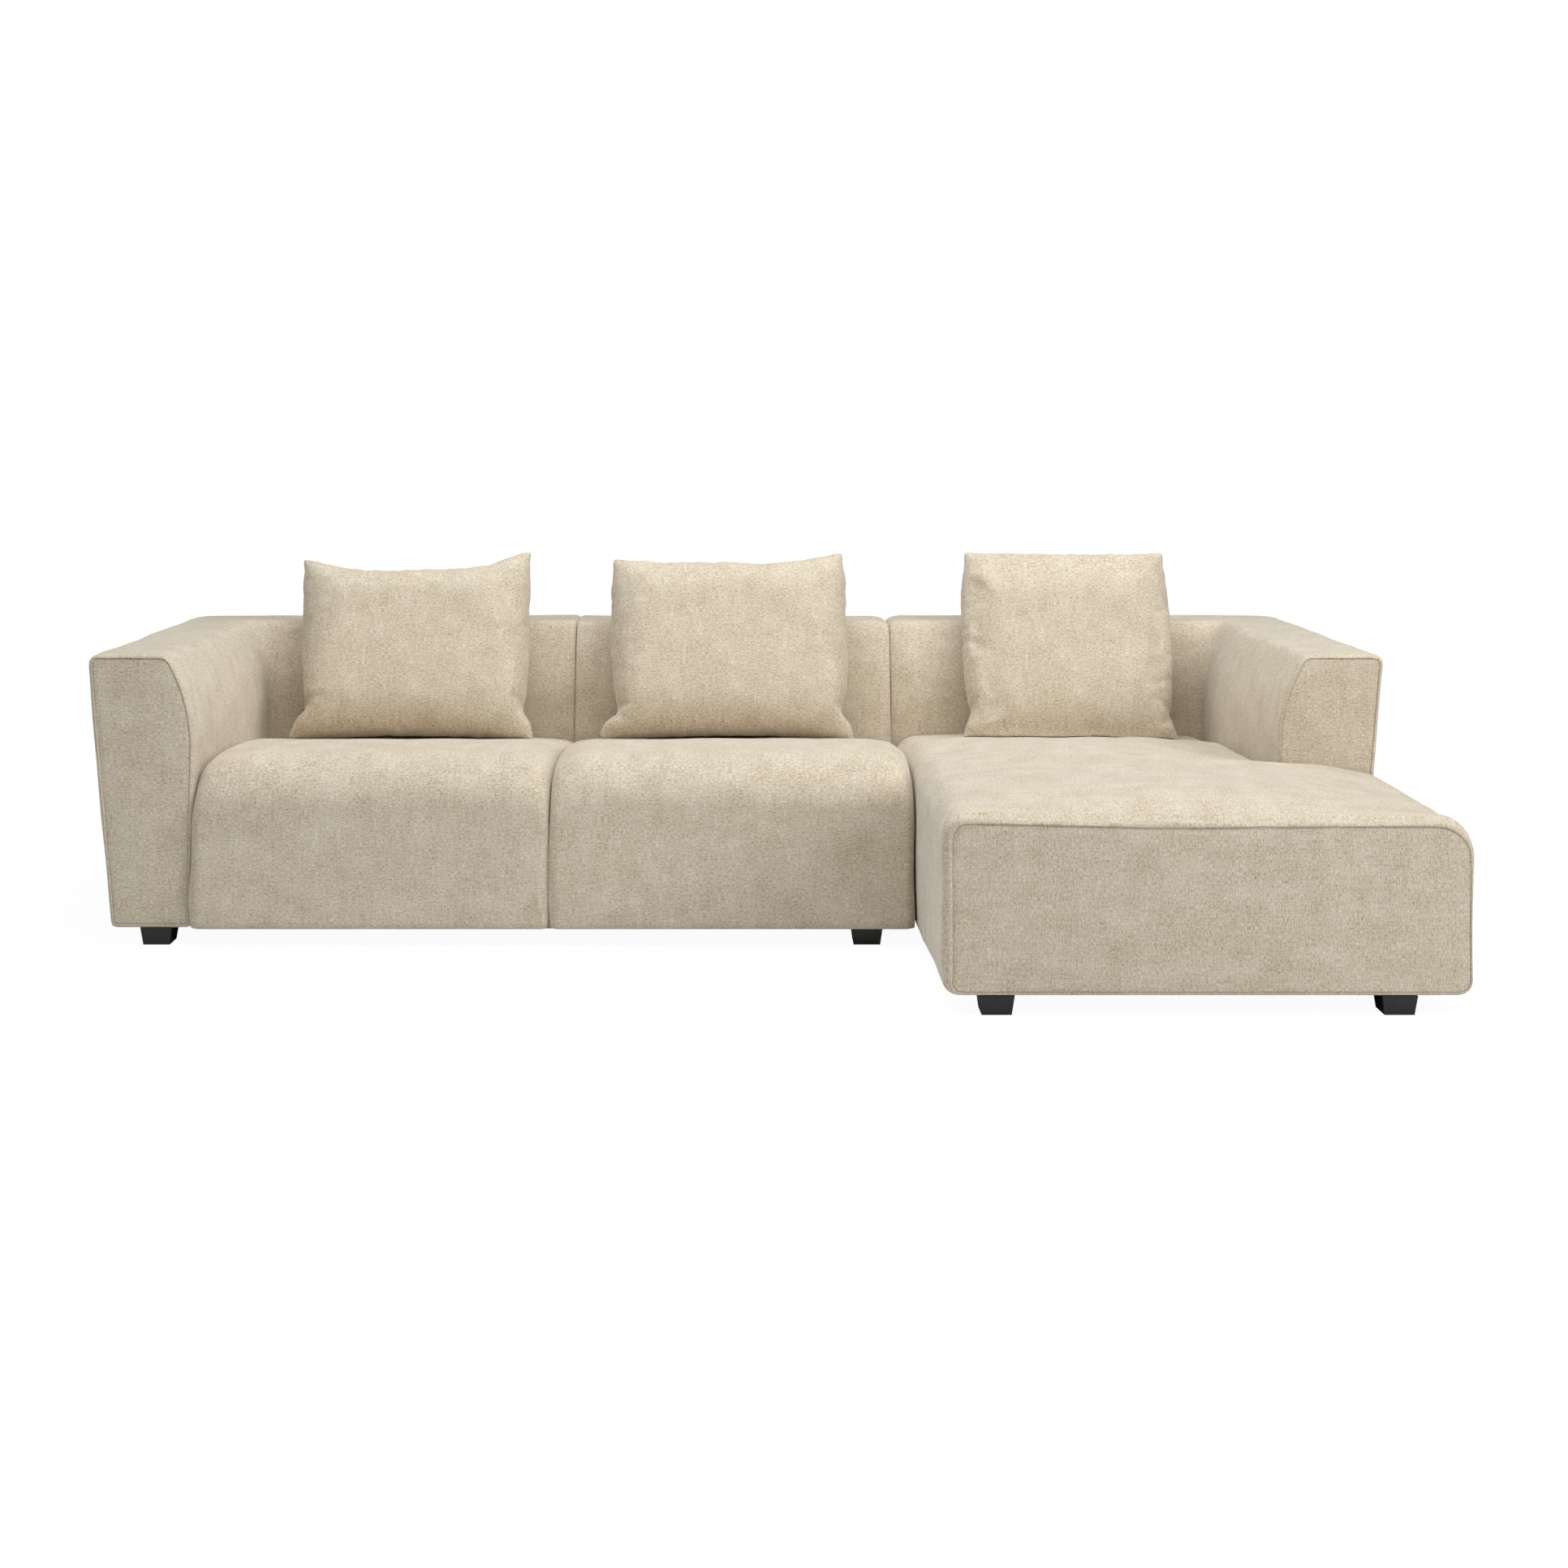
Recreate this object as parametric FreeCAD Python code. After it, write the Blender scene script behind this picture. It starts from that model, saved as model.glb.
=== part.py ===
import FreeCAD, Part
import math
import os
from FreeCAD import Vector

# Sectional sofa with chaise, in millimetres. X runs to the viewer's right, Y to the back, Z up.
# The origin is at floor level, in the middle of the whole sofa.

# Whole sofa
overall_width = 2970.0
sofa_depth = 1034.0
chaise_depth = 1628.0
back_height = 666.0
floor_gap = 40.0

# Arms and backs share one hollow cross-section, called the bolster here
bolster_depth = 244.0
outer_taper = 52.0
belly_height = 456.0
cove_radius = 316.5
top_inner_radius = 30.0
top_outer_radius = 22.0
inner_foot_lean = 7.0
inner_lip = 20.0
frame_outer_wall = 80.0
frame_inner_wall = 62.0
frame_top_wall = 66.0
arm_front_wall = 25.0
joint_end_wall = 12.0
arm_front_round = 10.0
joint_end_round = 16.0

# Seats
seat_left_width = 814.0
seat_middle_width = 839.0
seat_front_proud = 27.0
seat_crown_height = 434.0
seat_crown_width = 227.0
seat_rear_fall = 46.0
seat_front_radius = 100.0
seat_ridge_drop = 3.0
seat_crown_rise = 2.0
seat_crown_fall = 4.0
seat_rear_side_share = 0.5
seat_side_drop = 57.0
seat_side_roll = 95.0
seat_apron = 25.0
side_gap = 1.5

# Each row: distance in from the side as a share of the side roll, share of the drop, front setback
seat_side_steps = [(0.0, 1.0, 13.0), (0.13, 0.52, 3.0), (0.42, 0.17, 0.0), (1.0, 0.0, 0.0)]

# Chaise seat
chaise_front_fall = 46.0
chaise_joint_radius = 60.0
chaise_joint_drop = 16.0
chaise_side_radius = 46.0
chaise_side_drop = 24.0
chaise_top_setback = 4.0
chaise_edge_share = 0.35
chaise_flank_slant = 19.0
neck_step = 1.0
shoulder_gap = 5.0
shoulder_wall = 25.0
joint_flank_length = 120.0

# Front block. Each row: distance behind the front face, share of the rise to the crown, side inset
chaise_front_rows = [(0.0, 0.0, 9.0), (7.0, 0.42, 2.0), (24.0, 0.72, 0.0), (70.0, 0.94, 0.0),
                     (190.0, 1.06, 0.0)]
# Rear block. Each row: share of its length, depth below the crown, radius and drop beside the arm
chaise_rear_rows = [(0.0, 7.0, 8.0, 7.0), (0.08, 3.0, 34.0, 15.0), (0.2, 1.0, 46.0, 18.0),
                    (0.42, 4.0, 46.0, 18.0), (1.0, 50.0, 46.0, 14.0)]

# Timber
deck_height = 270.0
rail_thickness = 30.0
post_width = 45.0
plank_thickness = 22.0
low_rail_height = 45.0
board_thickness = 3.0
foot_block_length = 90.0
foot_block_size = 60.0

# Springs, webbing and cloth
spring_spacing = 200.0
spring_pitch = 68.0
spring_wire = 4.0
spring_bend_share = 0.27
rail_seat = 24.0
spring_loop_width = 56.0
clip_width = 22.0
clip_length = 16.0
clip_plate = 3.0
felt_thickness = 3.0
dust_cover_thickness = 2.0
web_width = 60.0
web_thickness = 2.0
webs_per_back = 5
foam_wadding = 34.0
foam_side_wadding = 48.0
foam_front_wadding = 67.0

# Feet
foot_top = 72.0
foot_bottom = 61.0
foot_inset = 40.0
chaise_foot_inset = 42.0
foot_side_inset = 156.0
middle_foot_inset = 111.0
chaise_left_foot_inset = 116.0
chaise_right_foot_inset = 142.0
stud_radius = 4.0
stud_rise = 45.0
stud_depth = 24.0
stud_clearance = 0.3

# Joint between the two sections
section_gap = 1.0
rail_setback = 7.0
plate = 3.0
fit_gap = 0.3
connector_width = 60.0
connector_taper = 9.0
connector_flange = 20.0
hook_side_gap = 4.0
hook_reach = 40.0
connector_height = 190.0
connector_inset = 150.0

# Loose cushions: widths are shares of the seat's width, shifts are from the seat's middle
cushion_height = 470.0
cushion_left_share = 0.745
cushion_left_shift = -13.0
cushion_middle_share = 0.749
cushion_middle_shift = -12.5
cushion_right_share = 0.637
cushion_right_shift = 48.5
cushion_thickness = 165.0
cushion_seam = 9.0
cushion_side_draw = 16.0
cushion_shoulder_share = 0.3
cushion_shoulder_rise = 0.72
cushion_shoulder_bend = 0.62
cushion_cover = 2.0
cushion_lean = 22.0
rest_gap = 0.3
settle_tolerance = 0.02
settle_steps = 16

half_width = overall_width / 2
rear = chaise_depth / 2
arm_front = rear - sofa_depth
chaise_front = -chaise_depth / 2
seat_front = arm_front - seat_front_proud
arm_inner = half_width - bolster_depth
back_front = rear - bolster_depth
seam_x = seat_left_width - arm_inner
joint_x = seam_x + seat_middle_width
sofa_end = joint_x - section_gap / 2
chaise_end = joint_x + section_gap / 2
sofa_rail_face = joint_x - rail_setback
chaise_rail_face = joint_x + rail_setback

seat_back_height = seat_crown_height - seat_rear_fall
chaise_front_height = seat_crown_height - chaise_front_fall
base_low = floor_gap + dust_cover_thickness
frame_top = back_height - frame_top_wall
cavity_outer = frame_outer_wall
cavity_inner = bolster_depth - frame_inner_wall
clip_top = deck_height + spring_wire + clip_plate
slab_low = clip_top + felt_thickness
deck_lip = slab_low + inner_lip
corner_reach = bolster_depth * 1.4
post_outer = cavity_outer
post_inner = cavity_inner - board_thickness
shoulder = arm_front - shoulder_gap

front_rail_y = seat_front + seat_apron
rear_rail_y = back_front - rail_thickness
chaise_rail_y = chaise_front + seat_apron
chaise_cross_y = shoulder - shoulder_wall - rail_thickness
chaise_left_rail_x = chaise_end + chaise_flank_slant + seat_apron
chaise_right_rail_x = half_width - seat_apron - rail_thickness

stud_low = floor_gap - stud_depth
sofa_foot_y = arm_front + foot_inset
rear_foot_y = rear - (post_outer + post_inner) / 2
chaise_foot_y = chaise_front + chaise_foot_inset
arm_foot_x = half_width - foot_side_inset
middle_foot_x = joint_x - middle_foot_inset
chaise_left_foot_x = joint_x + chaise_left_foot_inset
chaise_right_foot_x = half_width - chaise_right_foot_inset

sofa_feet = {
    "foot_sofa_front_left": (-arm_foot_x, sofa_foot_y),
    "foot_sofa_front_middle": (middle_foot_x, sofa_foot_y),
    "foot_sofa_rear_left": (-arm_foot_x, rear_foot_y),
    "foot_sofa_rear_middle": (middle_foot_x, rear_foot_y),
}
chaise_feet = {
    "foot_chaise_front_left": (chaise_left_foot_x, chaise_foot_y),
    "foot_chaise_front_right": (chaise_right_foot_x, chaise_foot_y),
    "foot_chaise_rear_left": (chaise_left_foot_x, rear_foot_y),
    "foot_chaise_rear_right": (arm_foot_x, rear_foot_y),
}


def box(x0, x1, y0, y1, z0, z1):
    return Part.makeBox(x1 - x0, y1 - y0, z1 - z0, Vector(x0, y0, z0))


def line(a, b):
    return Part.makeLine(a, b)


def arc(a, middle, b):
    return Part.Arc(a, middle, b).toShape()


def solid_from(edges, direction):
    return Part.Face(Part.Wire(edges)).extrude(direction)


def polygon_prism(points, direction):
    return Part.Face(Part.makePolygon(points + points[:1])).extrude(direction)


def mirrored(shape):
    return shape.mirror(Vector(0, 0, 0), Vector(1, 0, 0))


# Bolster: the cross-section that the arms and backs share. Its coordinates are the distance in from
# the outermost plane, and the height.

def outer_corner():
    """Tangent points and middle of the round between the leaning outer face and the flat top."""
    slope = math.atan2(outer_taper, back_height - floor_gap)
    half_angle = (math.pi / 2 - slope) / 2
    run = top_outer_radius / math.tan(half_angle)
    low = (run * math.sin(slope), back_height - run * math.cos(slope))
    reach = top_outer_radius / math.sin(half_angle) - top_outer_radius
    across = reach * math.cos(half_angle)
    middle = (across, back_height - reach * math.sin(half_angle))
    lead = (reach + top_outer_radius) * math.cos(half_angle) - top_outer_radius
    return [(inset - lead, height) for inset, height in (low, middle, (run, back_height))]


def inner_cove():
    """Points of the small top round and the large cove that falls to the belly of the inner face."""
    centre_x = bolster_depth - cove_radius
    small_z = back_height - top_inner_radius
    span = cove_radius - top_inner_radius
    small_x = centre_x + math.sqrt(span ** 2 - (small_z - belly_height) ** 2)
    turn = math.atan2(small_z - belly_height, small_x - centre_x)

    def on_cove(angle):
        return (centre_x + cove_radius * math.cos(angle), belly_height + cove_radius * math.sin(angle))

    half_turn = (turn + math.pi / 2) / 2
    small_middle = (small_x + top_inner_radius * math.cos(half_turn),
                    small_z + top_inner_radius * math.sin(half_turn))
    return (small_x, back_height), small_middle, on_cove(turn), on_cove(turn / 2), on_cove(0)


def bolster_edges(place, hollow):
    low, corner, top_start = outer_corner()
    top_end, small_middle, meet, cove_middle, belly = inner_cove()
    foot = (outer_taper, floor_gap)
    lean = inner_foot_lean / (belly_height - floor_gap)
    edges = [
        line(place(*foot), place(*low)),
        arc(place(*low), place(*corner), place(*top_start)),
        line(place(*top_start), place(*top_end)),
        arc(place(*top_end), place(*small_middle), place(*meet)),
        arc(place(*meet), place(*cove_middle), place(*belly)),
    ]
    if hollow:
        lip = (bolster_depth - lean * (belly_height - deck_lip), deck_lip)
        path = [belly, lip, (cavity_inner, deck_lip), (cavity_inner, frame_top),
                (cavity_outer, frame_top), (cavity_outer, floor_gap), foot]
    else:
        path = [belly, (bolster_depth - inner_foot_lean, floor_gap), foot]
    edges += [line(place(*a), place(*b)) for a, b in zip(path, path[1:])]
    return edges


def corner_wedge(arm_side):
    """The triangle beyond the mitre at the back left corner, on the arm's side or the back's side."""
    z0 = floor_gap - 1
    edge = -half_width - 1
    back = rear + 1
    far = Vector(edge + corner_reach, back - corner_reach, z0)
    third = Vector(edge, back - corner_reach, z0) if arm_side else Vector(edge + corner_reach, back, z0)
    return polygon_prism([Vector(edge, back, z0), far, third], Vector(0, 0, back_height))


def round_end(shape, radius, is_end):
    """Round the edges of one end face, apart from its bottom and the cavity's."""
    chosen = []
    for edge in shape.Edges:
        box_now = edge.BoundBox
        if is_end(box_now) and box_now.ZMax > floor_gap + 1:
            chosen.append(edge)
    return shape.makeFillet(radius, chosen)


def arm_cover():
    """Left arm: solid front wall, hollow behind, mitred into the back at the rear."""
    def place(inset, height):
        return Vector(-half_width + inset, arm_front, height)
    wall = solid_from(bolster_edges(place, False), Vector(0, arm_front_wall, 0))
    channel = solid_from(bolster_edges(place, True), Vector(0, sofa_depth, 0))
    body = channel.fuse(wall).removeSplitter()
    body = round_end(body, arm_front_round, lambda b: b.YMax < arm_front + 0.01)
    return body.cut(corner_wedge(False))


def back_channel(x0, x1):
    def place(inset, height):
        return Vector(x0, rear - inset, height)
    return solid_from(bolster_edges(place, True), Vector(x1 - x0, 0, 0))


def back_end(x0, x1):
    def place(inset, height):
        return Vector(x0, rear - inset, height)
    return solid_from(bolster_edges(place, False), Vector(x1 - x0, 0, 0))


def back_left():
    return back_channel(-half_width, seam_x).cut(corner_wedge(True))


def back_middle():
    body = back_channel(seam_x, sofa_end).fuse(back_end(sofa_end - joint_end_wall, sofa_end))
    return round_end(body.removeSplitter(), joint_end_round, lambda b: b.XMin > sofa_end - 0.01)


def back_right():
    body = back_channel(chaise_end, half_width).fuse(back_end(chaise_end, chaise_end + joint_end_wall))
    body = round_end(body.removeSplitter(), joint_end_round, lambda b: b.XMax < chaise_end + 0.01)
    return body.cut(mirrored(corner_wedge(True)))


# Seats: a ruled loft of side profiles, lowered towards both sides, then opened from below so that
# only the slab and the front apron are left.

def seat_profile(x, drop, setback):
    front = seat_front + setback
    crest = seat_crown_height - drop
    roll = seat_front_radius * (1 - math.sqrt(0.5))
    ridge = front + seat_front_radius
    rear_height = seat_back_height - drop * seat_rear_side_share
    points = [
        Vector(x, front, floor_gap),
        Vector(x, front, crest - seat_front_radius),
        Vector(x, front + roll, crest - roll - seat_ridge_drop),
        Vector(x, ridge, crest - seat_ridge_drop),
        Vector(x, ridge + seat_crown_width / 2, crest + seat_crown_rise),
        Vector(x, ridge + seat_crown_width, crest - seat_crown_fall),
        Vector(x, back_front - side_gap, rear_height),
        Vector(x, back_front - side_gap, floor_gap),
    ]
    return Part.Wire([
        line(points[0], points[1]),
        arc(points[1], points[2], points[3]),
        arc(points[3], points[4], points[5]),
        line(points[5], points[6]),
        line(points[6], points[7]),
        line(points[7], points[0]),
    ])


def seat_cover(x0, x1):
    wires = [seat_profile(x0 + share * seat_side_roll, drop * seat_side_drop, setback)
             for share, drop, setback in seat_side_steps]
    wires += [seat_profile(x1 - share * seat_side_roll, drop * seat_side_drop, setback)
              for share, drop, setback in reversed(seat_side_steps)]
    body = Part.makeLoft(wires, True, True)
    hollow = box(x0 - 1, x1 + 1, seat_front + seat_apron, rear, floor_gap - 1, slab_low)
    return body.cut(hollow).cut(seat_foam(x0, x1))


def seat_foam(x0, x1):
    """Foam core that fills the pocket inside the wadding and cover."""
    return box(x0 + foam_wadding, x1 - foam_wadding, seat_front + foam_front_wadding,
               back_front - foam_wadding, slab_low, seat_back_height - foam_wadding)


# Chaise seat: a front block as wide as the whole section and a narrower block between arm and joint

def chaise_profile(y, x0, x1, top, left_radius, left_drop, right_radius, right_drop):
    """Cross-section of the chaise seat at one depth: flanks, rounded shoulders and a crowned top."""
    left = top - left_drop
    right = top - right_drop
    bend = 1 - math.sqrt(0.5)
    points = [
        Vector(x0, y, floor_gap),
        Vector(x0, y, left - left_radius),
        Vector(x0 + bend * left_radius, y, left - bend * left_radius),
        Vector(x0 + left_radius, y, left),
        Vector((x0 + x1) / 2, y, top),
        Vector(x1 - right_radius, y, right),
        Vector(x1 - bend * right_radius, y, right - bend * right_radius),
        Vector(x1, y, right - right_radius),
        Vector(x1, y, floor_gap),
    ]
    return Part.Wire([
        line(points[0], points[1]),
        arc(points[1], points[2], points[3]),
        arc(points[3], points[4], points[5]),
        arc(points[5], points[6], points[7]),
        line(points[7], points[8]),
        line(points[8], points[0]),
    ])


def chaise_left_flank(y):
    """The free flank slants in from the front corner to the joint."""
    return chaise_end + chaise_flank_slant * (shoulder - y) / (shoulder - chaise_front)


def chaise_front_block():
    rise = seat_crown_height - chaise_top_setback - chaise_front_height
    wires = []
    for depth, share, inset in chaise_front_rows:
        y = chaise_front + depth
        rounding = chaise_edge_share + (1 - chaise_edge_share) * min(1.0, share)
        wires.append(chaise_profile(
            y, chaise_left_flank(y) + inset, half_width - inset, chaise_front_height + rise * share,
            chaise_joint_radius * rounding, chaise_joint_drop * rounding,
            chaise_side_radius * rounding, chaise_side_drop * rounding))
    wires.append(chaise_profile(
        shoulder, chaise_end, half_width, seat_crown_height,
        chaise_joint_radius, chaise_joint_drop, chaise_side_radius, chaise_side_drop))
    return Part.makeLoft(wires, True, True)


def chaise_rear_block():
    x0 = chaise_end + neck_step
    x1 = arm_inner - side_gap
    length = back_front - side_gap - shoulder
    wires = [chaise_profile(shoulder + share * length, x0, x1, seat_crown_height - fall,
                            chaise_joint_radius, chaise_joint_drop, radius, drop)
             for share, fall, radius, drop in chaise_rear_rows]
    return Part.makeLoft(wires, True, True)


def chaise_foam():
    top = seat_back_height - foam_wadding
    y_mid = shoulder - foam_wadding
    front = box(chaise_end + chaise_flank_slant + foam_wadding, half_width - foam_side_wadding,
                chaise_front + foam_front_wadding, y_mid, slab_low, top)
    back = box(chaise_end + foam_wadding, arm_inner - foam_wadding, y_mid - foam_wadding,
               back_front - foam_wadding, slab_low, top)
    return front.fuse(back).removeSplitter()


def chaise_cover():
    body = chaise_front_block().fuse(chaise_rear_block()).removeSplitter()
    front_hollow = box(chaise_left_rail_x, half_width - seat_apron, chaise_front + seat_apron,
                       shoulder - shoulder_wall, floor_gap - 1, slab_low)
    flank_end = shoulder + joint_flank_length
    neck = box(chaise_rail_face, arm_inner + 1, chaise_cross_y, flank_end, floor_gap - 1, slab_low)
    rear_hollow = box(chaise_end - 1, arm_inner + 1, flank_end, rear, floor_gap - 1, slab_low)
    hollow = front_hollow.fuse([neck, rear_hollow]).removeSplitter()
    return body.cut(hollow).cut(chaise_foam())


# Timber base of each section

def rail(x0, x1, y0, y1):
    return box(x0, x1, y0, y1, base_low, deck_height)


def sofa_rails():
    end = sofa_rail_face
    start = -arm_inner
    inner_y0 = front_rail_y + rail_thickness
    half = rail_thickness / 2
    return {
        "sofa_front_rail": rail(start, end, front_rail_y, inner_y0),
        "sofa_rear_rail": rail(start, end, rear_rail_y, back_front),
        "sofa_arm_side_rail": rail(start, start + rail_thickness, inner_y0, rear_rail_y),
        "sofa_joint_rail": rail(end - rail_thickness, end, inner_y0, rear_rail_y),
        "sofa_centre_rail": rail(seam_x - half, seam_x + half, inner_y0, rear_rail_y),
    }


def chaise_rails():
    left = chaise_left_rail_x
    right = chaise_right_rail_x
    cross_end = chaise_cross_y + rail_thickness
    inner = arm_inner - rail_thickness
    flank_y = chaise_rail_y + rail_thickness
    return {
        "chaise_front_rail": rail(left, right + rail_thickness, chaise_rail_y, flank_y),
        "chaise_flank_rails": Part.makeCompound([
            rail(left, left + rail_thickness, flank_y, chaise_cross_y),
            rail(right, right + rail_thickness, flank_y, chaise_cross_y)]),
        "chaise_cross_rail": rail(chaise_rail_face, right + rail_thickness, chaise_cross_y, cross_end),
        "chaise_joint_rail": rail(chaise_rail_face, chaise_rail_face + rail_thickness,
                                  cross_end, rear_rail_y),
        "chaise_arm_side_rail": rail(inner, arm_inner, cross_end, rear_rail_y),
        "chaise_rear_rail": rail(chaise_rail_face, arm_inner, rear_rail_y, back_front),
    }


# Arm and back frames: posts between a low rail and a top plank, inside the bolster's cavity

def arm_frame():
    """Left arm: front post, top plank over it, and the low rail that ties it to the seat base."""
    outer = -half_width + post_outer
    inner = -half_width + post_inner
    y0 = arm_front + arm_front_wall
    plank_low = frame_top - plank_thickness
    middle = (y0 + back_front) / 2
    post_front = box(outer, inner, y0, y0 + post_width, base_low, plank_low)
    post_middle = box(outer, inner, middle, middle + post_width, base_low, plank_low)
    plank_end = rear - post_inner
    plank_top = box(outer, inner, y0, plank_end, plank_low, frame_top)
    low_rail = box(inner, -arm_inner, y0, back_front, base_low, base_low + low_rail_height)
    return Part.makeCompound([post_front, post_middle, plank_top, low_rail])


def arm_board():
    """Hardboard lining that keeps the padding off the open arm frame."""
    inner = -half_width + post_inner
    return box(inner, inner + board_thickness, arm_front + arm_front_wall, rear - cavity_inner,
               base_low + low_rail_height, frame_top)


def back_posts(centres):
    y0 = rear - post_inner
    y1 = rear - post_outer
    half = post_width / 2
    top = frame_top - plank_thickness
    return Part.makeCompound([box(x - half, x + half, y0, y1, base_low, top) for x in centres])


def back_rails(x0, x1):
    """Top plank over the posts, and the low rail between the posts and the seat base."""
    y0 = rear - post_inner
    top = box(x0, x1, y0, rear - post_outer, frame_top - plank_thickness, frame_top)
    low = box(x0, x1, back_front, y0, base_low, base_low + low_rail_height)
    return Part.makeCompound([top, low])


def back_webbing(spans):
    """Elastic straps from the low rail to the top plank, on the front of the posts."""
    y1 = rear - post_inner
    straps = []
    for x0, x1 in spans:
        pitch = (x1 - x0) / webs_per_back
        for index in range(webs_per_back):
            x = x0 + (index + 0.5) * pitch
            straps.append(box(x - web_width / 2, x + web_width / 2, y1 - web_thickness, y1,
                              base_low + low_rail_height, frame_top))
    return Part.makeCompound(straps)


# Seat suspension

def spring(x, y0, y1):
    """Sinuous spring: cross wires joined by bends on alternate sides, from rail to rail."""
    bends = 2 * round((y1 - y0) / (2 * spring_pitch))
    pitch = (y1 - y0 - spring_wire) / bends
    reach = spring_loop_width / 2 - spring_wire / 2
    straight = reach - pitch / 4
    z = deck_height
    path = [Vector(x - straight, y0 + spring_wire / 2, z)]
    for index in range(bends):
        side = 1 if index % 2 == 0 else -1
        y = y0 + spring_wire / 2 + index * pitch
        path.append(Vector(x + side * straight, y, z))
        path.append(Vector(x + side * reach, y + pitch * spring_bend_share, z))
        path.append(Vector(x + side * reach, y + pitch * (1 - spring_bend_share), z))
    path.append(Vector(x - straight, y1 - spring_wire / 2, z))
    path.append(Vector(x + straight, y1 - spring_wire / 2, z))
    outline = ribbon(path, spring_wire / 2)
    return polygon_prism(outline, Vector(0, 0, spring_wire))


def ribbon(path, half):
    """Outline of a flat wire round a path, mitred at each bend."""
    left, right = [], []
    for index, point in enumerate(path):
        before = path[max(index - 1, 0)]
        after = path[min(index + 1, len(path) - 1)]
        ahead = after - point if index < len(path) - 1 else point - before
        behind = point - before if index > 0 else ahead
        ahead.normalize()
        behind.normalize()
        normal = Vector(-(ahead.y + behind.y), ahead.x + behind.x, 0)
        normal.normalize()
        width = half / (normal.x * -ahead.y + normal.y * ahead.x)
        left.append(point + normal * width)
        right.append(point - normal * width)
    return left + right[::-1]


def spring_clip(x, y, behind):
    """Clip over the end wire of a spring: a plate with one leg down to the rail, behind or before it."""
    low = deck_height + spring_wire
    x0, x1 = x - clip_width / 2, x + clip_width / 2
    y0, y1 = y - clip_length / 2, y + clip_length / 2
    top = box(x0, x1, y0, y1, low, clip_top)
    y_leg = y1 - clip_plate if behind else y0
    leg = box(x0, x1, y_leg, y_leg + clip_plate, deck_height, low)
    return top.fuse(leg).removeSplitter()


def spring_positions(x0, x1):
    count = max(2, round((x1 - x0) / spring_spacing))
    pitch = (x1 - x0) / count
    return [x0 + (index + 0.5) * pitch for index in range(count)]


def suspension(fields):
    """Springs and clips for each field, given as x range, front end and rear end."""
    springs, clips = [], []
    for x0, x1, y0, y1 in fields:
        for x in spring_positions(x0, x1):
            springs.append(spring(x, y0, y1))
            clips.append(spring_clip(x, y0 + spring_wire / 2, False))
            clips.append(spring_clip(x, y1 - spring_wire / 2, True))
    return Part.makeCompound(springs), Part.makeCompound(clips)


def sofa_fields():
    y0 = front_rail_y + rail_thickness - rail_seat
    y1 = rear_rail_y + rail_seat
    half = rail_thickness / 2
    return [(-arm_inner + rail_thickness, seam_x - half, y0, y1),
            (seam_x + half, sofa_rail_face - rail_thickness, y0, y1)]


def chaise_fields():
    meeting = chaise_cross_y + rail_thickness / 2
    return [(chaise_left_rail_x + rail_thickness, chaise_right_rail_x,
             chaise_rail_y + rail_thickness - rail_seat, meeting - spring_wire),
            (chaise_rail_face + rail_thickness, arm_inner - rail_thickness,
             meeting + spring_wire, rear_rail_y + rail_seat)]


def sofa_deck(z0, z1):
    """Flat sheet as large as the sofa section's seat base."""
    return box(-arm_inner, sofa_rail_face, front_rail_y, back_front - side_gap, z0, z1)


def chaise_deck(z0, z1):
    """Flat L-shaped sheet as large as the chaise section's seat base."""
    front = box(chaise_left_rail_x, chaise_right_rail_x + rail_thickness, chaise_rail_y,
                chaise_cross_y + rail_thickness, z0, z1)
    back = box(chaise_rail_face, arm_inner, chaise_cross_y, back_front - side_gap, z0, z1)
    return front.fuse(back).removeSplitter()


def bolster_floor(back_end_x):
    """Dust cover under the hollow arm and back, from the left arm to the given end of the back."""
    y0 = arm_front + arm_front_wall
    arm = box(-half_width + cavity_outer, -arm_inner, y0, rear - cavity_outer, floor_gap, base_low)
    back = box(-arm_inner, back_end_x, back_front - side_gap, rear - cavity_outer, floor_gap, base_low)
    return arm.fuse(back)


def sofa_dust_cover():
    cover = sofa_deck(floor_gap, base_low).fuse(bolster_floor(sofa_end - joint_end_wall))
    return drilled(cover.removeSplitter(), sofa_feet)


def chaise_dust_cover():
    strips = mirrored(bolster_floor(-chaise_end - joint_end_wall))
    cover = chaise_deck(floor_gap, base_low).fuse(strips)
    return drilled(cover.removeSplitter(), chaise_feet)


# Feet

def foot(x, y):
    """Tapered square foot with a blind hole for its stud."""
    low, high = foot_bottom / 2, foot_top / 2
    body = Part.makeWedge(-low, 0, -low, -high, -high, low, floor_gap, low, high, high)
    body.rotate(Vector(0, 0, 0), Vector(1, 0, 0), 90)
    body.translate(Vector(x, y, 0))
    return body.cut(stud_hole(x, y))


def hexagon_bar(x, y, radius, z0, z1):
    angles = [math.radians(60 * index) for index in range(6)]
    corners = [Vector(x + radius * math.cos(angle), y + radius * math.sin(angle), z0) for angle in angles]
    return polygon_prism(corners, Vector(0, 0, z1 - z0))


def stud(x, y):
    """Hexagonal foot stud, from inside the foot up into the timber."""
    return hexagon_bar(x, y, stud_radius, stud_low, floor_gap + stud_rise)


def stud_hole(x, y):
    return hexagon_bar(x, y, stud_radius + stud_clearance, stud_low, floor_gap + stud_rise + stud_clearance)


# Hook-in connectors: an open-topped pocket on the sofa section, a downward tongue on the chaise section

def connector_centres():
    return (arm_front + connector_inset, back_front - connector_inset)


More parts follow.
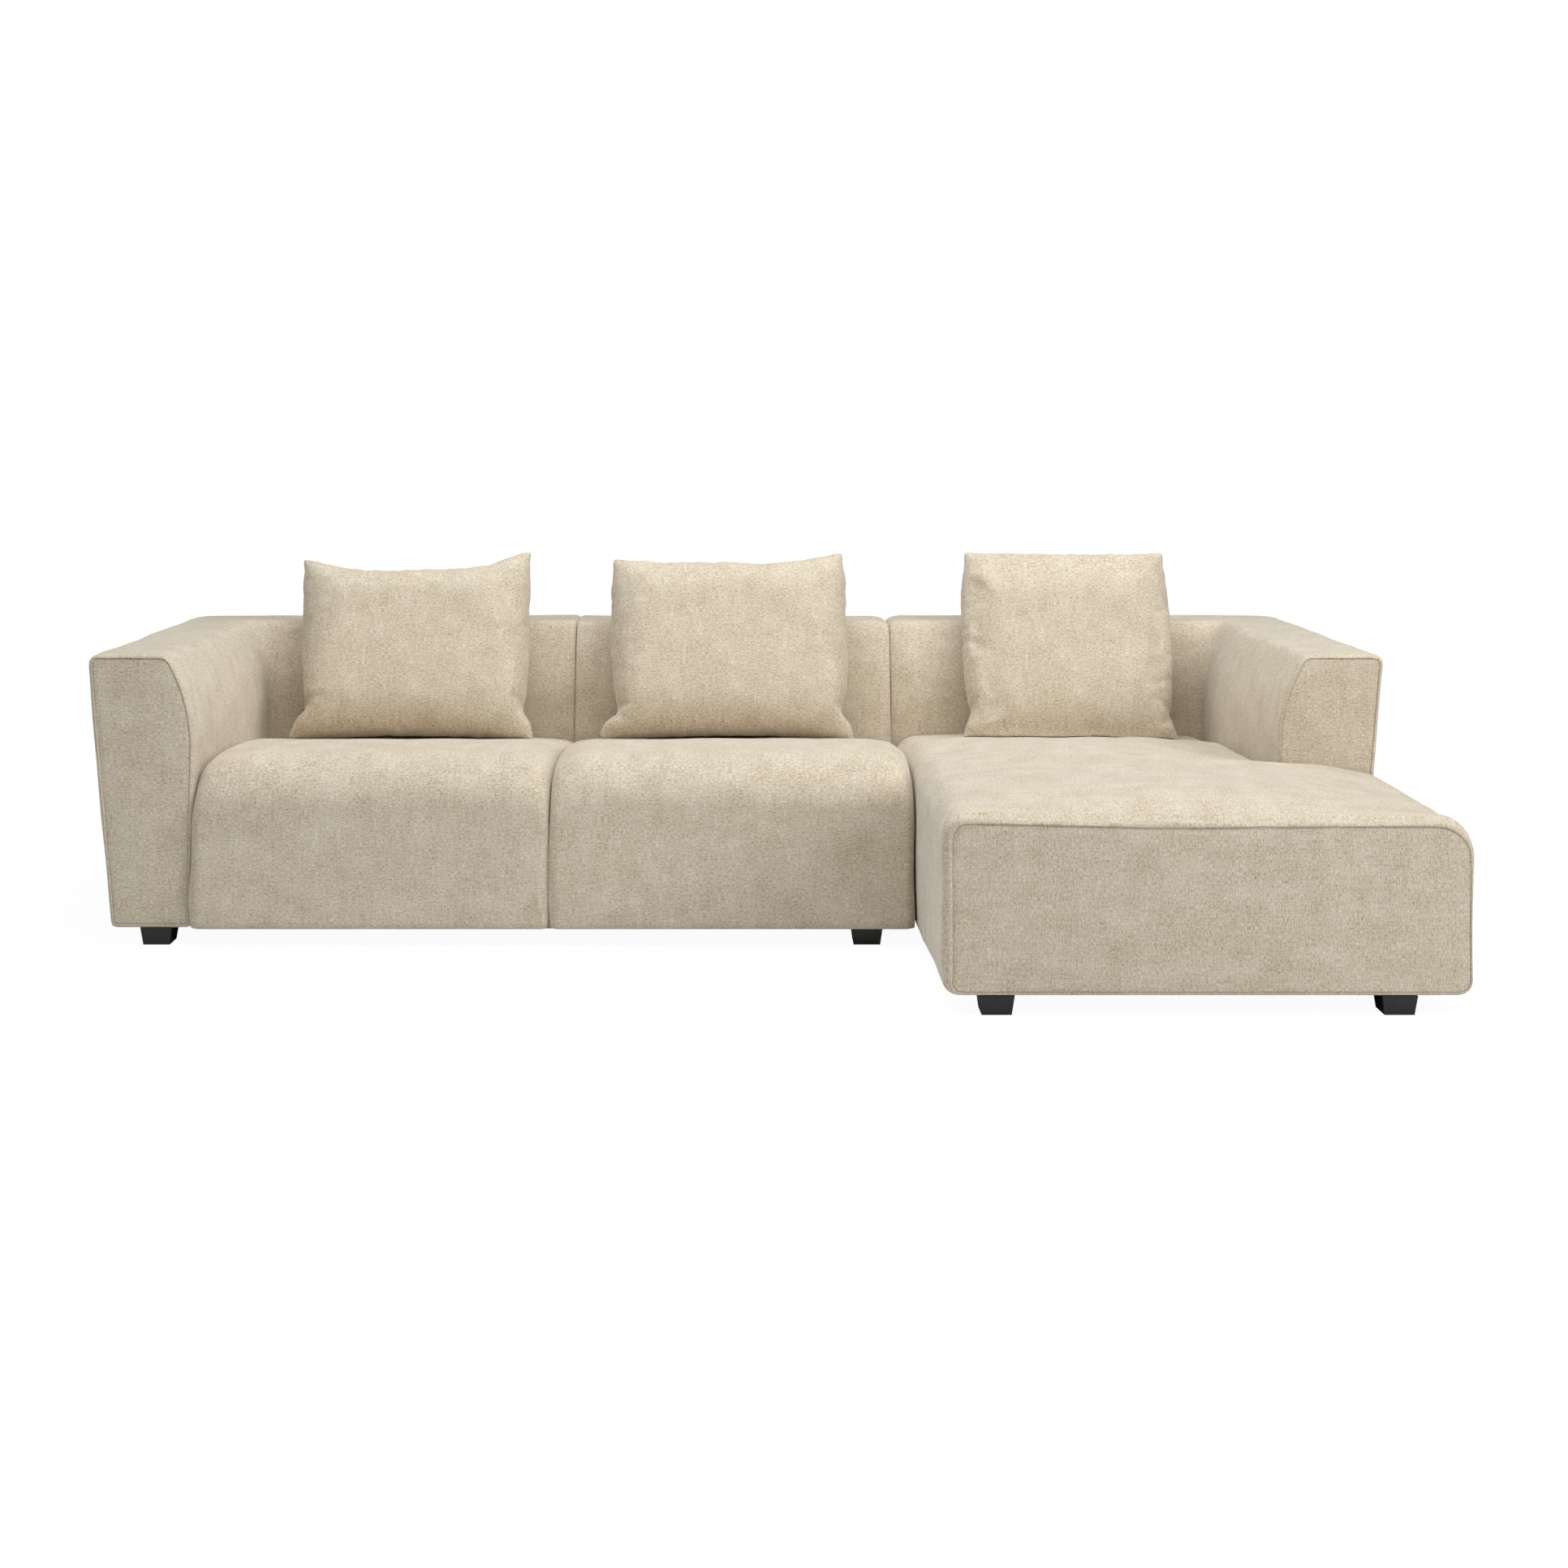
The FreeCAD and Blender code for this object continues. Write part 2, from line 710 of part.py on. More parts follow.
def socket(y):
    x0 = sofa_rail_face
    pocket = x0 + plate
    lip = pocket + plate + 2 * fit_gap
    z = connector_height
    floor_z = z - hook_reach - fit_gap
    half = connector_width / 2
    bottom = floor_z - plate - connector_flange
    top = z + connector_flange
    profile = [(x0, bottom), (pocket, bottom), (pocket, floor_z - plate),
               (lip + plate, floor_z - plate), (lip + plate, z), (lip, z), (lip, floor_z),
               (pocket, floor_z), (pocket, top), (x0, top)]
    return polygon_prism([Vector(x, y - half, h) for x, h in profile], Vector(0, connector_width, 0))


def hook(y):
    """Base plate, bridge over the socket's lip, and a tongue that narrows towards its tip."""
    x0 = sofa_rail_face + plate + fit_gap
    x1 = chaise_rail_face
    z = connector_height + fit_gap
    half = connector_width / 2 - hook_side_gap
    tip = half - connector_taper
    base = box(x1 - plate, x1, y - half, y + half, z - hook_reach - connector_flange,
               z + plate + connector_flange)
    bridge = box(x0, x1 - plate, y - half, y + half, z, z + plate)
    tongue = polygon_prism([
        Vector(x0, y - half, z), Vector(x0, y + half, z), Vector(x0, y + half, z - hook_reach / 2),
        Vector(x0, y + tip, z - hook_reach), Vector(x0, y - tip, z - hook_reach),
        Vector(x0, y - half, z - hook_reach / 2)], Vector(plate, 0, 0))
    return base.fuse(bridge).fuse(tongue).removeSplitter()


# Loose cushions

def crowned_side(half, edge, swell):
    """One side of the lens section: a shoulder arc, a flat crown arc and the other shoulder arc."""
    reach = half * (1 - cushion_shoulder_share)
    rise = edge + (swell - edge) * cushion_shoulder_rise
    bend_x = half - (half - reach) * (1 - cushion_shoulder_bend)
    bend_y = edge + (rise - edge) * cushion_shoulder_bend
    stations = [(-half, edge), (-bend_x, bend_y), (-reach, rise), (0, swell),
                (reach, rise), (bend_x, bend_y), (half, edge)]
    return [stations[0:3], stations[2:5], stations[4:7]]


def lens_prism(half, edge, swell, full, place, travel):
    """Prism of a lens section with thin ends, which crowns a cushion along one of its directions."""
    if full:
        sides = crowned_side(half, edge, swell)
    else:
        sides = [[(-half, edge), (0, swell), (half, edge)]]
    edges = []
    for a, middle, b in sides:
        edges.append(arc(place(*a), place(*middle), place(*b)))
    edges.append(line(place(half, edge), place(half, -edge)))
    for b, middle, a in reversed(sides):
        edges.append(arc(place(a[0], -a[1]), place(middle[0], -middle[1]), place(b[0], -b[1])))
    edges.append(line(place(-half, -edge), place(-half, edge)))
    return solid_from(edges, travel)


def cushion_blank(width, height, thickness, seam, full):
    """Pad crowned both ways with drawn-in sides, upright on the XZ plane, centred on the origin."""
    x, z = width / 2, height / 2
    edge = seam / 2
    swell = thickness / 2
    across = lens_prism(x, edge, swell, full, lambda u, n: Vector(u, n, -z - seam),
                        Vector(0, 0, height + 2 * seam))
    upright = lens_prism(z, edge, swell, full, lambda u, n: Vector(-x - seam, n, u),
                         Vector(width + 2 * seam, 0, 0))
    pad = cushion_outline(x, z, thickness).common(across).common(upright)
    return pad.Solids[0]


def cushion_outline(x, z, thickness):
    """Upright prism with four sides that draw in between the corners."""
    y = -thickness
    draw = cushion_side_draw
    corners = [Vector(-x, y, -z), Vector(x, y, -z), Vector(x, y, z), Vector(-x, y, z)]
    middles = [Vector(0, y, draw - z), Vector(x - draw, y, 0), Vector(0, y, z - draw), Vector(draw - x, y, 0)]
    edges = [arc(corners[i], middles[i], corners[(i + 1) % 4]) for i in range(4)]
    return solid_from(edges, Vector(0, 2 * thickness, 0))


def place_cushion(shape, x, lift, y):
    placed = shape.copy()
    placed.rotate(Vector(0, 0, 0), Vector(1, 0, 0), -cushion_lean)
    placed.translate(Vector(x, y, lift))
    return placed


def settle(shape, seat, back):
    """Lower the leaning pad and move it back in turn until it is a rest gap off seat and back."""
    lift = seat_crown_height + cushion_height
    y = back_front - cushion_height / 2
    for _ in range(settle_steps):
        down = place_cushion(shape, 0, lift, y).distToShape(seat)[0] - rest_gap
        lift -= down
        if down < settle_tolerance:
            break
    for _ in range(settle_steps):
        away = place_cushion(shape, 0, lift, y).distToShape(back)[0] - rest_gap
        y += away
        down = place_cushion(shape, 0, lift, y).distToShape(seat)[0] - rest_gap
        lift -= down
        if abs(away) + abs(down) < settle_tolerance:
            break
    return lift, y


def cushion_set(width, centre, seat, back):
    """Cover and insert of one cushion."""
    wall = 2 * cushion_cover
    outer = cushion_blank(width, cushion_height, cushion_thickness, cushion_seam, True)
    inner = cushion_blank(width - wall, cushion_height - wall, cushion_thickness - wall,
                          cushion_seam - wall, False)
    to_centre = Vector(-centre, 0, 0)
    lift, y = settle(outer.Shells[0], seat.Shells[0].translated(to_centre),
                     back.Shells[0].translated(to_centre))
    return (place_cushion(outer.cut(inner), centre, lift, y), place_cushion(inner, centre, lift, y))


def foot_block():
    """Timber block behind the front rail, over the middle foot."""
    y0 = front_rail_y + rail_thickness
    half = foot_block_length / 2
    x = middle_foot_x
    return box(x - half, x + half, y0, y0 + foot_block_size, base_low, base_low + foot_block_size)


def drilled(shape, feet):
    for x, y in feet.values():
        shape = shape.cut(stud_hole(x, y))
    return shape


def upholstery():
    nodes = {
        "arm_left_cover": arm_cover(),
        "arm_right_cover": mirrored(arm_cover()),
        "back_left_cover": back_left(),
        "back_middle_cover": back_middle(),
        "back_right_cover": back_right(),
        "chaise_seat_cover": chaise_cover(),
        "chaise_seat_foam": chaise_foam(),
    }
    seats = {"seat_left": (side_gap - arm_inner, seam_x - side_gap / 2),
             "seat_middle": (seam_x + side_gap / 2, sofa_end)}
    for name, (x0, x1) in seats.items():
        nodes[name + "_cover"] = seat_cover(x0, x1)
        nodes[name + "_foam"] = seat_foam(x0, x1)
    return nodes


def timber():
    nodes = {
        "arm_left_frame": arm_frame(),
        "arm_right_frame": mirrored(arm_frame()),
        "arm_left_board": arm_board(),
        "arm_right_board": mirrored(arm_board()),
        "sofa_back_posts": back_posts([-arm_foot_x, seam_x, middle_foot_x]),
        "chaise_back_posts": back_posts([chaise_left_foot_x, arm_foot_x]),
        "sofa_back_rails": back_rails(post_outer - half_width, sofa_end - joint_end_wall),
        "chaise_back_rails": back_rails(chaise_end + joint_end_wall, half_width - post_outer),
        "sofa_foot_block": foot_block(),
    }
    nodes.update(sofa_rails())
    nodes.update(chaise_rails())
    for name in ("arm_left_frame", "sofa_back_posts", "sofa_foot_block"):
        nodes[name] = drilled(nodes[name], sofa_feet)
    for name in ("chaise_front_rail", "chaise_back_posts"):
        nodes[name] = drilled(nodes[name], chaise_feet)
    return nodes


def springs_and_cloth():
    sofa_springs, sofa_clips = suspension(sofa_fields())
    chaise_springs, chaise_clips = suspension(chaise_fields())
    return {
        "sofa_seat_springs": sofa_springs,
        "sofa_spring_clips": sofa_clips,
        "chaise_seat_springs": chaise_springs,
        "chaise_spring_clips": chaise_clips,
        "sofa_back_webbing": back_webbing([(-arm_inner, seam_x), (seam_x, sofa_end - joint_end_wall)]),
        "chaise_back_webbing": back_webbing([(chaise_end + joint_end_wall, arm_inner)]),
        "sofa_deck_felt": sofa_deck(clip_top, slab_low),
        "chaise_deck_felt": chaise_deck(clip_top, slab_low),
        "sofa_dust_cover": sofa_dust_cover(),
        "chaise_dust_cover": chaise_dust_cover(),
    }


def feet_and_connectors():
    nodes = {
        "joint_sockets": Part.makeCompound([socket(y) for y in connector_centres()]),
        "joint_hooks": Part.makeCompound([hook(y) for y in connector_centres()]),
    }
    for group, feet in (("sofa", sofa_feet), ("chaise", chaise_feet)):
        for name, (x, y) in feet.items():
            nodes[name] = foot(x, y)
        nodes[group + "_foot_studs"] = Part.makeCompound([stud(x, y) for x, y in feet.values()])
    return nodes


def cushions(nodes):
    """Each cushion leans on the seat and back that carry it, beside the seat's middle."""
    left_seat = (-arm_inner, seam_x)
    middle_seat = (seam_x, joint_x)
    right_seat = (joint_x, arm_inner)
    rows = (("left", left_seat, cushion_left_share, cushion_left_shift, "seat_left", "back_left"),
            ("middle", middle_seat, cushion_middle_share, cushion_middle_shift, "seat_middle", "back_middle"),
            ("right", right_seat, cushion_right_share, cushion_right_shift, "chaise_seat", "back_right"))
    made = {}
    for name, (x0, x1), share, shift, seat, back in rows:
        cover, insert = cushion_set(share * (x1 - x0), (x0 + x1) / 2 + shift,
                                    nodes[seat + "_cover"], nodes[back + "_cover"])
        made["cushion_" + name + "_cover"] = cover
        made["cushion_" + name + "_insert"] = insert
    return made


def build():
    nodes = upholstery()
    nodes.update(timber())
    nodes.update(springs_and_cloth())
    nodes.update(feet_and_connectors())
    nodes.update(cushions(nodes))
    return nodes


if __name__ == "__main__":
    os.makedirs("parts", exist_ok=True)
    for node_name, node_shape in build().items():
        node_shape.exportStep("parts/" + node_name + ".step")
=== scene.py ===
import math
import bmesh
import bpy
import numpy as np
from mathutils import Matrix, Vector
from mathutils.bvhtree import BVHTree


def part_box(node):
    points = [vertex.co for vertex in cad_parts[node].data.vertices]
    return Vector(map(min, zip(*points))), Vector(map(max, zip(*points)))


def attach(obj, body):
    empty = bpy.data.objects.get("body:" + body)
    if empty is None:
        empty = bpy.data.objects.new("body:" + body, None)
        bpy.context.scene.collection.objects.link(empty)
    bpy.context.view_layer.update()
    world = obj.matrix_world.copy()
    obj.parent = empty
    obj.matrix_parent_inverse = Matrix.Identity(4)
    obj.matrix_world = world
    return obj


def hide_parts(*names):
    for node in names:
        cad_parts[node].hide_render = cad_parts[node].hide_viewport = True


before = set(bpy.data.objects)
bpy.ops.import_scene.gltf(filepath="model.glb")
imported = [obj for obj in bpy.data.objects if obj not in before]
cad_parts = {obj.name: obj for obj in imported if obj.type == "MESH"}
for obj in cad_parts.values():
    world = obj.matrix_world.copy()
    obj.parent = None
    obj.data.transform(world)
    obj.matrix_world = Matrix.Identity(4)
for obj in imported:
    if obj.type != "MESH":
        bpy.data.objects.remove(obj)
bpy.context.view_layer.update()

# Sectional sofa with chaise. Metres, X to the viewer's right, Y to the back, Z up.

arm_lo, arm_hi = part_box("arm_left_cover")
back_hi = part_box("back_left_cover")[1]
seat_lo, seat_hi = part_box("seat_left_cover")
seat_mid_lo, seat_mid_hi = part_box("seat_middle_cover")
chaise_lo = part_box("chaise_seat_cover")[0]
dust_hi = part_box("sofa_dust_cover")[1]

half_width = -arm_lo.x
arm_inner = -arm_hi.x
arm_front = arm_lo.y
rear = arm_hi.y
floor_gap = arm_lo.z
top_height = arm_hi.z
seam_x = back_hi.x
joint_left = seat_mid_hi.x
joint_right = chaise_lo.x
seat_front = seat_lo.y
seat_rear = seat_hi.y
chaise_front = chaise_lo.y

# Recess of the underside, which shows the dust covers inside a rim
dust_gap = 0.0012
recess_height = dust_hi.z + dust_gap
rim_width = 0.025
rim_lip = 0.001

# Steps of the rounded edges, and the least length that a vector is divided by
round_steps = 8
small_steps = 4
tiny = 1e-9

# Bolster: the section that arms and backs share, as inset from the outermost plane and height
foot_inset = 0.052
outer_round = 0.022
inner_round = 0.035
inner_round_x = 0.163
cove_radius = 0.3909
cove_x = -0.1469
cove_z = 0.456
cove_steps = 24
inner_foot = 0.237
bottom_round = 0.012
steps_up = 62
steps_across = 22
ring_step = 0.011
bolster_uneven = 0.0012

# Ends of the bolsters: length, dip of the edge and rings; they draw in less towards the floor
tight_end = (0.012, 0.009, 5)
soft_end = (0.048, 0.017, 9)
end_dome = 0.001
end_least = 0.3
end_low = 0.12
end_span = 0.35

# Crease where arm and back meet, rounded more towards the top
crease_widths = (16, 13, 10, 8, 6, 5, 4, 3)
crease_passes = 3
crease_pull = 0.8
crease_least = 0.2
crease_low = 0.42
crease_span = 0.22

# Seams and edges of the end faces
seam_inset = 0.0085
seam_half = 0.0012
seam_depth = 0.0024
face_rise = 0.0010
face_middle = 0.0014
arm_face_dish = 0.0035
chaise_face_dish = 0.004
edge_steps = 6
edge_depth = 0.0115
chaise_edge_depth = 0.018
first_station = 0.018
seam_gap = 0.0004

# Seats: height of the top along the middle, and how far it falls at the sides, by depth
crest_y = [-0.147, -0.08, -0.02, 0.06, 0.14, 0.22, 0.30, 0.42, 0.569]
crest_z = [0.4325, 0.4355, 0.4350, 0.4300, 0.4205, 0.4090, 0.3965, 0.3790, 0.3610]
side_drop_y = [-0.247, -0.145, -0.05, 0.10, 0.26, 0.569]
side_drop_z = [0.062, 0.066, 0.058, 0.052, 0.026, 0.014]
seat_roll = 0.108
seat_roll_top = 0.4325
seat_roll_steps = 24
roll_power = 1.18
seat_corner = 0.016
seat_side_roll = 0.095
seat_side_steps = 15
seat_steps_up = 40
seat_steps_deep = 74
seat_crest_steps = 60
seat_ring_step = 0.012
seat_uneven = 0.0018

# Seat rear: the crest's end, the rounded edge under it and the foot
crest_end = 0.02
rear_round = 0.014
rear_round_z = 0.016
rear_foot_z = 0.012
rear_lip = (0.006, 0.0045)

# Seat sides: the fall starts above this height, the front draws in, the foot is rounded and leans out
fall_low, fall_span = 0.20, 0.16
draw_in, draw_width = 0.016, 0.022
draw_reach, draw_span = 0.12, 0.11
foot_round = 0.013
foot_reach, foot_reach_span = 0.024, 0.010
foot_top, foot_span = 0.10, 0.06
lean_top, lean_span = 0.42, 0.38

# Where the seats end at the sides
seat_arm_lap = 0.002
seat_seam_lap = 0.0003
seat_arm_lean = 0.0065
seat_joint_gap = 0.0018
chaise_joint_gap = 0.0022

# Chaise: crown and free flank by depth
chaise_crown_y = [-0.814, -0.800, -0.785, -0.765, -0.720, -0.640, -0.40,
                  -0.15, 0.0, 0.10, 0.20, 0.30, 0.42, 0.569]
chaise_crown_z = [0.4040, 0.4085, 0.4135, 0.4190, 0.4268, 0.4335, 0.4340,
                  0.4350, 0.4345, 0.4290, 0.4160, 0.4010, 0.3860, 0.3760]
chaise_left_y = [chaise_front, seat_front, seat_front + 0.05]
chaise_left_x = [0.4180, 0.4160, joint_right + chaise_joint_gap]
chaise_corner_y = [-0.60, -0.34]
chaise_corner_r = [0.032, 0.007]
chaise_front_zone, chaise_front_span = -0.70, 0.11
chaise_rear_zone, chaise_rear_span = 0.02, 0.26
chaise_corner = 0.032
chaise_corner_narrow = 0.010
chaise_past_arm = 0.007
chaise_arm_gap = 0.0015
chaise_sag = 0.0095
chaise_steps_up = 40
chaise_steps_across = 96
chaise_ring_step = 0.012
chaise_uneven = 0.0020
shoulder_y = arm_front - 0.005
shoulder_step = 0.001
shoulder_end = (0.014, 0.012, 5)
shoulder_x = 1.15
shoulder_span = 0.05
rear_end = (0.012, 0.010, 4)

# Cushions
cushion_height = 0.508
cushion_thickness = 0.165
cushion_lean = 22.0
cushion_edge = 0.130
cushion_foot = 0.155
cushion_point = 0.008
cushion_point_width = 0.016
cushion_sag = 0.006
cushion_shift = (0.0, -0.010, -0.014)
cloth_step = 0.0085
cloth_frames = 18
cloth_reach = 0.014
cloth_jitter = 0.0004
press_gap = 0.0018
press_below = 0.60
press_above = 0.9
press_ahead = 0.4


# Geometry helpers

def arc(x, z, radius, start, end, steps):
    """Points of an arc between two angles in degrees, ends included."""
    angles = np.radians(np.linspace(start, end, steps + 1))
    return [(x + radius * math.cos(a), z + radius * math.sin(a)) for a in angles]


def resample(points, count):
    """The polyline cut into count equal steps, without its last point."""
    points = np.array(points, float)
    run = np.concatenate([[0], np.cumsum(np.linalg.norm(np.diff(points, axis=0), axis=1))])
    at = np.linspace(0, run[-1], count + 1)[:-1]
    return np.stack([np.interp(at, run, points[:, k]) for k in range(points.shape[1])], axis=1)


def ease(t):
    t = np.clip(t, 0, 1)
    return t * t * (3 - 2 * t)


def spread(start, end, step):
    """Even stations between two values, ends included."""
    count = max(2, int(round(abs(end - start) / step)))
    return list(np.linspace(start, end, count + 1))


def offset_loop(loop, distance):
    """Closed clockwise 2-D loop moved inwards along its smoothed normals."""
    ahead = np.roll(loop, -1, axis=0) - np.roll(loop, 1, axis=0)
    normal = np.stack([ahead[:, 1], -ahead[:, 0]], axis=1)
    normal /= np.maximum(np.linalg.norm(normal, axis=1, keepdims=True), tiny)
    normal = normal + 0.5 * (np.roll(normal, 1, axis=0) + np.roll(normal, -1, axis=0))
    normal /= np.maximum(np.linalg.norm(normal, axis=1, keepdims=True), tiny)
    return loop + normal * np.reshape(distance, (-1, 1))


def edge_fall(distance, radius):
    """Drop of a quarter circle at a distance in from its edge, as a share of its radius."""
    return 1 - math.sqrt(max(0.0, 1 - max(0.0, 1 - distance / radius) ** 2))


def halves(points):
    """The two halves of an arc. Both have its middle point."""
    middle = len(points) // 2
    return points[:middle + 1], points[middle:]


def swell(points, seed, reach, waves=6, shortest=0.14, longest=0.5):
    """Gentle unevenness of stuffed cloth: a sum of a few long waves at each point."""
    chooser = np.random.default_rng(seed)
    longest_phase = 6.28
    total = np.zeros(len(points))
    for _ in range(waves):
        direction = chooser.normal(size=3)
        direction /= np.linalg.norm(direction)
        length = chooser.uniform(shortest, longest)
        total += np.sin(points @ direction * 2 * math.pi / length + chooser.uniform(0, longest_phase))
    return total * reach / math.sqrt(waves)


def make_mesh(name, points, faces):
    mesh = bpy.data.meshes.new(name)
    mesh.from_pydata([tuple(map(float, p)) for p in points], [], faces)
    builder = bmesh.new()
    builder.from_mesh(mesh)
    bmesh.ops.recalc_face_normals(builder, faces=builder.faces)
    builder.to_mesh(mesh)
    builder.free()
    mesh.shade_smooth()
    thing = bpy.data.objects.new(name, mesh)
    bpy.context.scene.collection.objects.link(thing)
    return thing


def patch(side_a, side_b, side_c, side_d):
    """Coons patch between four sides of a loop. Each side has its own first point, not its last."""
    nv, nu = len(side_a), len(side_b)
    left = np.concatenate([side_a, side_b[:1]])
    top = np.concatenate([side_b, side_c[:1]])
    right = np.concatenate([side_c, side_d[:1]])[::-1]
    bottom = np.concatenate([side_d, side_a[:1]])[::-1]
    v = np.linspace(0, 1, nv + 1)[:, None, None]
    u = np.linspace(0, 1, nu + 1)[None, :, None]
    ruled_u = (1 - u) * left[:, None, :] + u * right[:, None, :]
    ruled_v = (1 - v) * bottom[None, :, :] + v * top[None, :, :]
    corners = ((1 - u) * (1 - v) * left[0] + (1 - u) * v * left[-1]
               + u * (1 - v) * right[0] + u * v * right[-1])
    return ruled_u + ruled_v - corners


def end_index(base, total, nv, nu):
    """Point numbers of an end's patch: the outline on its ring from base, the inside on from total."""
    index = np.full((nv + 1, nu + 1), -1)
    index[:nv, 0] = base + np.arange(nv)
    index[nv, :nu] = base + nv + np.arange(nu)
    index[1:, nu] = (base + nv + nu + np.arange(nv))[::-1]
    index[0, 1:] = (base + 2 * nv + nu + np.arange(nu))[::-1]
    index[1:nv, 1:nu] = total + np.arange((nv - 1) * (nu - 1)).reshape(nv - 1, nu - 1)
    return index.tolist()


def tube(name, rings, nv, nu, bulge_start=None, bulge_end=None):
    """Closed mesh from rings of equal count. A bulge is (axis, reach) and swells that end's patch."""
    rings = np.array(rings)
    count, n = rings.shape[:2]
    points = [rings.reshape(-1, 3)]
    faces = []
    for j in range(count - 1):
        for i in range(n):
            a, b = j * n + i, j * n + (i + 1) % n
            faces.append((a, a + n, b + n, b))
    total = count * n
    v = np.linspace(0, 1, nv + 1)[:, None]
    u = np.linspace(0, 1, nu + 1)[None, :]
    dome = np.sqrt(np.clip(16 * u * (1 - u) * v * (1 - v), 0, 1))
    for ring_index, bulge in ((0, bulge_start), (count - 1, bulge_end)):
        ring = rings[ring_index]
        grid = patch(ring[:nv], ring[nv:nv + nu], ring[nv + nu:2 * nv + nu], ring[2 * nv + nu:])
        if bulge is not None:
            grid[:, :, bulge[0]] += bulge[1] * dome
        points.append(grid[1:nv, 1:nu].reshape(-1, 3))
        index = end_index(ring_index * n, total, nv, nu)
        total += (nv - 1) * (nu - 1)
        for a in range(nv):
            for b in range(nu):
                faces.append((index[a][b], index[a + 1][b], index[a + 1][b + 1], index[a][b + 1]))
    return make_mesh(name, np.concatenate(points), faces)


def coordinates(mesh):
    co = np.zeros(len(mesh.vertices) * 3, np.float32)
    mesh.vertices.foreach_get("co", co)
    return co.reshape(-1, 3).astype(float)


def set_coordinates(mesh, co):
    mesh.vertices.foreach_set("co", co.astype(np.float32).ravel())
    mesh.update()


def vertex_normals(mesh):
    normal = np.zeros(len(mesh.vertices) * 3, np.float32)
    mesh.vertex_normals.foreach_get("vector", normal)
    return normal.reshape(-1, 3)


def keep_rest(thing):
    """Store where the cloth pattern has each point, so that the pattern follows the piece."""
    layer = thing.data.attributes.new("rest", "FLOAT_VECTOR", "POINT")
    layer.data.foreach_set("vector", np.ascontiguousarray(coordinates(thing.data), np.float32).ravel())


def ruffle(thing, seed, reach):
    """Gentle unevenness along the normals, fading out towards the underside."""
    fade_height = 0.09
    co = coordinates(thing.data)
    move = swell(co, seed, reach) * ease((co[:, 2] - floor_gap) / fade_height)
    set_coordinates(thing.data, co + vertex_normals(thing.data) * move[:, None])


def finished(thing, body, slot, *nodes):
    """Hand a soft piece over: its body and the nodes that it stands for. Its slot is not used."""
    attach(thing, body)
    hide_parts(*nodes)
    return thing


# Arms and backs

def bolster_loop():
    """Clockwise loop of (inset, height) in four sides: outer, top, inner, bottom."""
    lean = math.degrees(math.atan2(foot_inset, top_height - floor_gap))
    small_z = top_height - inner_round
    turn = math.degrees(math.atan2(small_z - cove_z, inner_round_x - cove_x))
    outer_side, outer_top = halves(arc(outer_round, top_height - outer_round, outer_round, 180 + lean, 90,
                                       round_steps))
    inner_top, inner_side = halves(arc(inner_round_x, small_z, inner_round, 90, turn, round_steps))
    cove = arc(cove_x, cove_z, cove_radius, turn, 0, cove_steps)
    left = foot_inset + bottom_round
    right = inner_foot - bottom_round
    low = floor_gap + bottom_round
    start = arc(left, low, bottom_round, 225, 180 + lean, small_steps)
    end = arc(right, low, bottom_round, 0, -45, small_steps)
    under_right = arc(right, low, bottom_round, -45, -90, small_steps)
    under_left = arc(left, low, bottom_round, 270, 225, small_steps)
    return np.concatenate([resample(start + outer_side, steps_up),
                           resample(outer_top + inner_top, steps_across),
                           resample(inner_side + cove + end, steps_up),
                           resample(under_right + under_left, steps_across)])


def recessed(loop, distance, wall):
    """Lift the bottom behind the outer rim, beyond the end wall, so that the dust cover shows."""
    loop = loop.copy()
    if distance >= wall:
        inside = (loop[:, 0] > foot_inset + rim_width) & (loop[:, 1] < recess_height)
        loop[inside, 1] = recess_height
    return loop


def face_rows(inset, depth):
    """(depth, inset) of rings from a flat end face outwards: seam groove, then the rounded edge."""
    rows = [(face_middle, inset + 4 * seam_half), (face_rise, inset + 2 * seam_half),
            (face_rise + seam_depth, inset + seam_half), (face_rise, inset)]
    for k in range(edge_steps, 0, -1):
        angle = math.pi / 2 * k / edge_steps
        rows.append((depth * (1 - math.sin(angle)), inset * (1 - math.cos(angle))))
    return rows


def soft_rows(length, dip, steps):
    """(depth, inset) of rings of a soft end, from the full section to the end face."""
    turns = [math.pi / 2 * k / steps for k in range(steps + 1)]
    return [(length * (1 - math.sin(t)), dip * (1 - math.cos(t))) for t in turns]


def end_weight(loop):
    """Soft ends draw in less towards the floor."""
    return end_least + (1 - end_least) * ease((loop[:, 1] - end_low) / end_span)


def arm_rings(loop, last):
    """Rings of the left arm from its front face to the mitre."""
    n = len(loop)

    def ring(shape, y):
        return np.stack([shape[:, 0] - half_width, np.zeros(n) + y, shape[:, 1]], axis=1)

    rings = [ring(offset_loop(loop, np.full(n, inset)), arm_front + depth)
             for depth, inset in face_rows(seam_inset, edge_depth)]
    first = arm_front + edge_depth
    stations = [first, arm_front + first_station, arm_front + rim_width - rim_lip]
    stations += spread(arm_front + rim_width, last, ring_step)
    for y in stations:
        shape = recessed(loop, y - arm_front, rim_width)
        share = (y - first) / (last - first)
        rings.append(ring(shape, first + share * (last - shape[:, 0] - first)))
    return rings


def back_ring(shape, x):
    return np.stack([np.zeros(len(shape)) + x, rear - shape[:, 0], shape[:, 1]], axis=1)


def end_ring(loop, x, inset):
    moved = offset_loop(loop, inset * end_weight(loop))
    moved[:, 1] = np.maximum(moved[:, 1], floor_gap)
    return back_ring(moved, x)


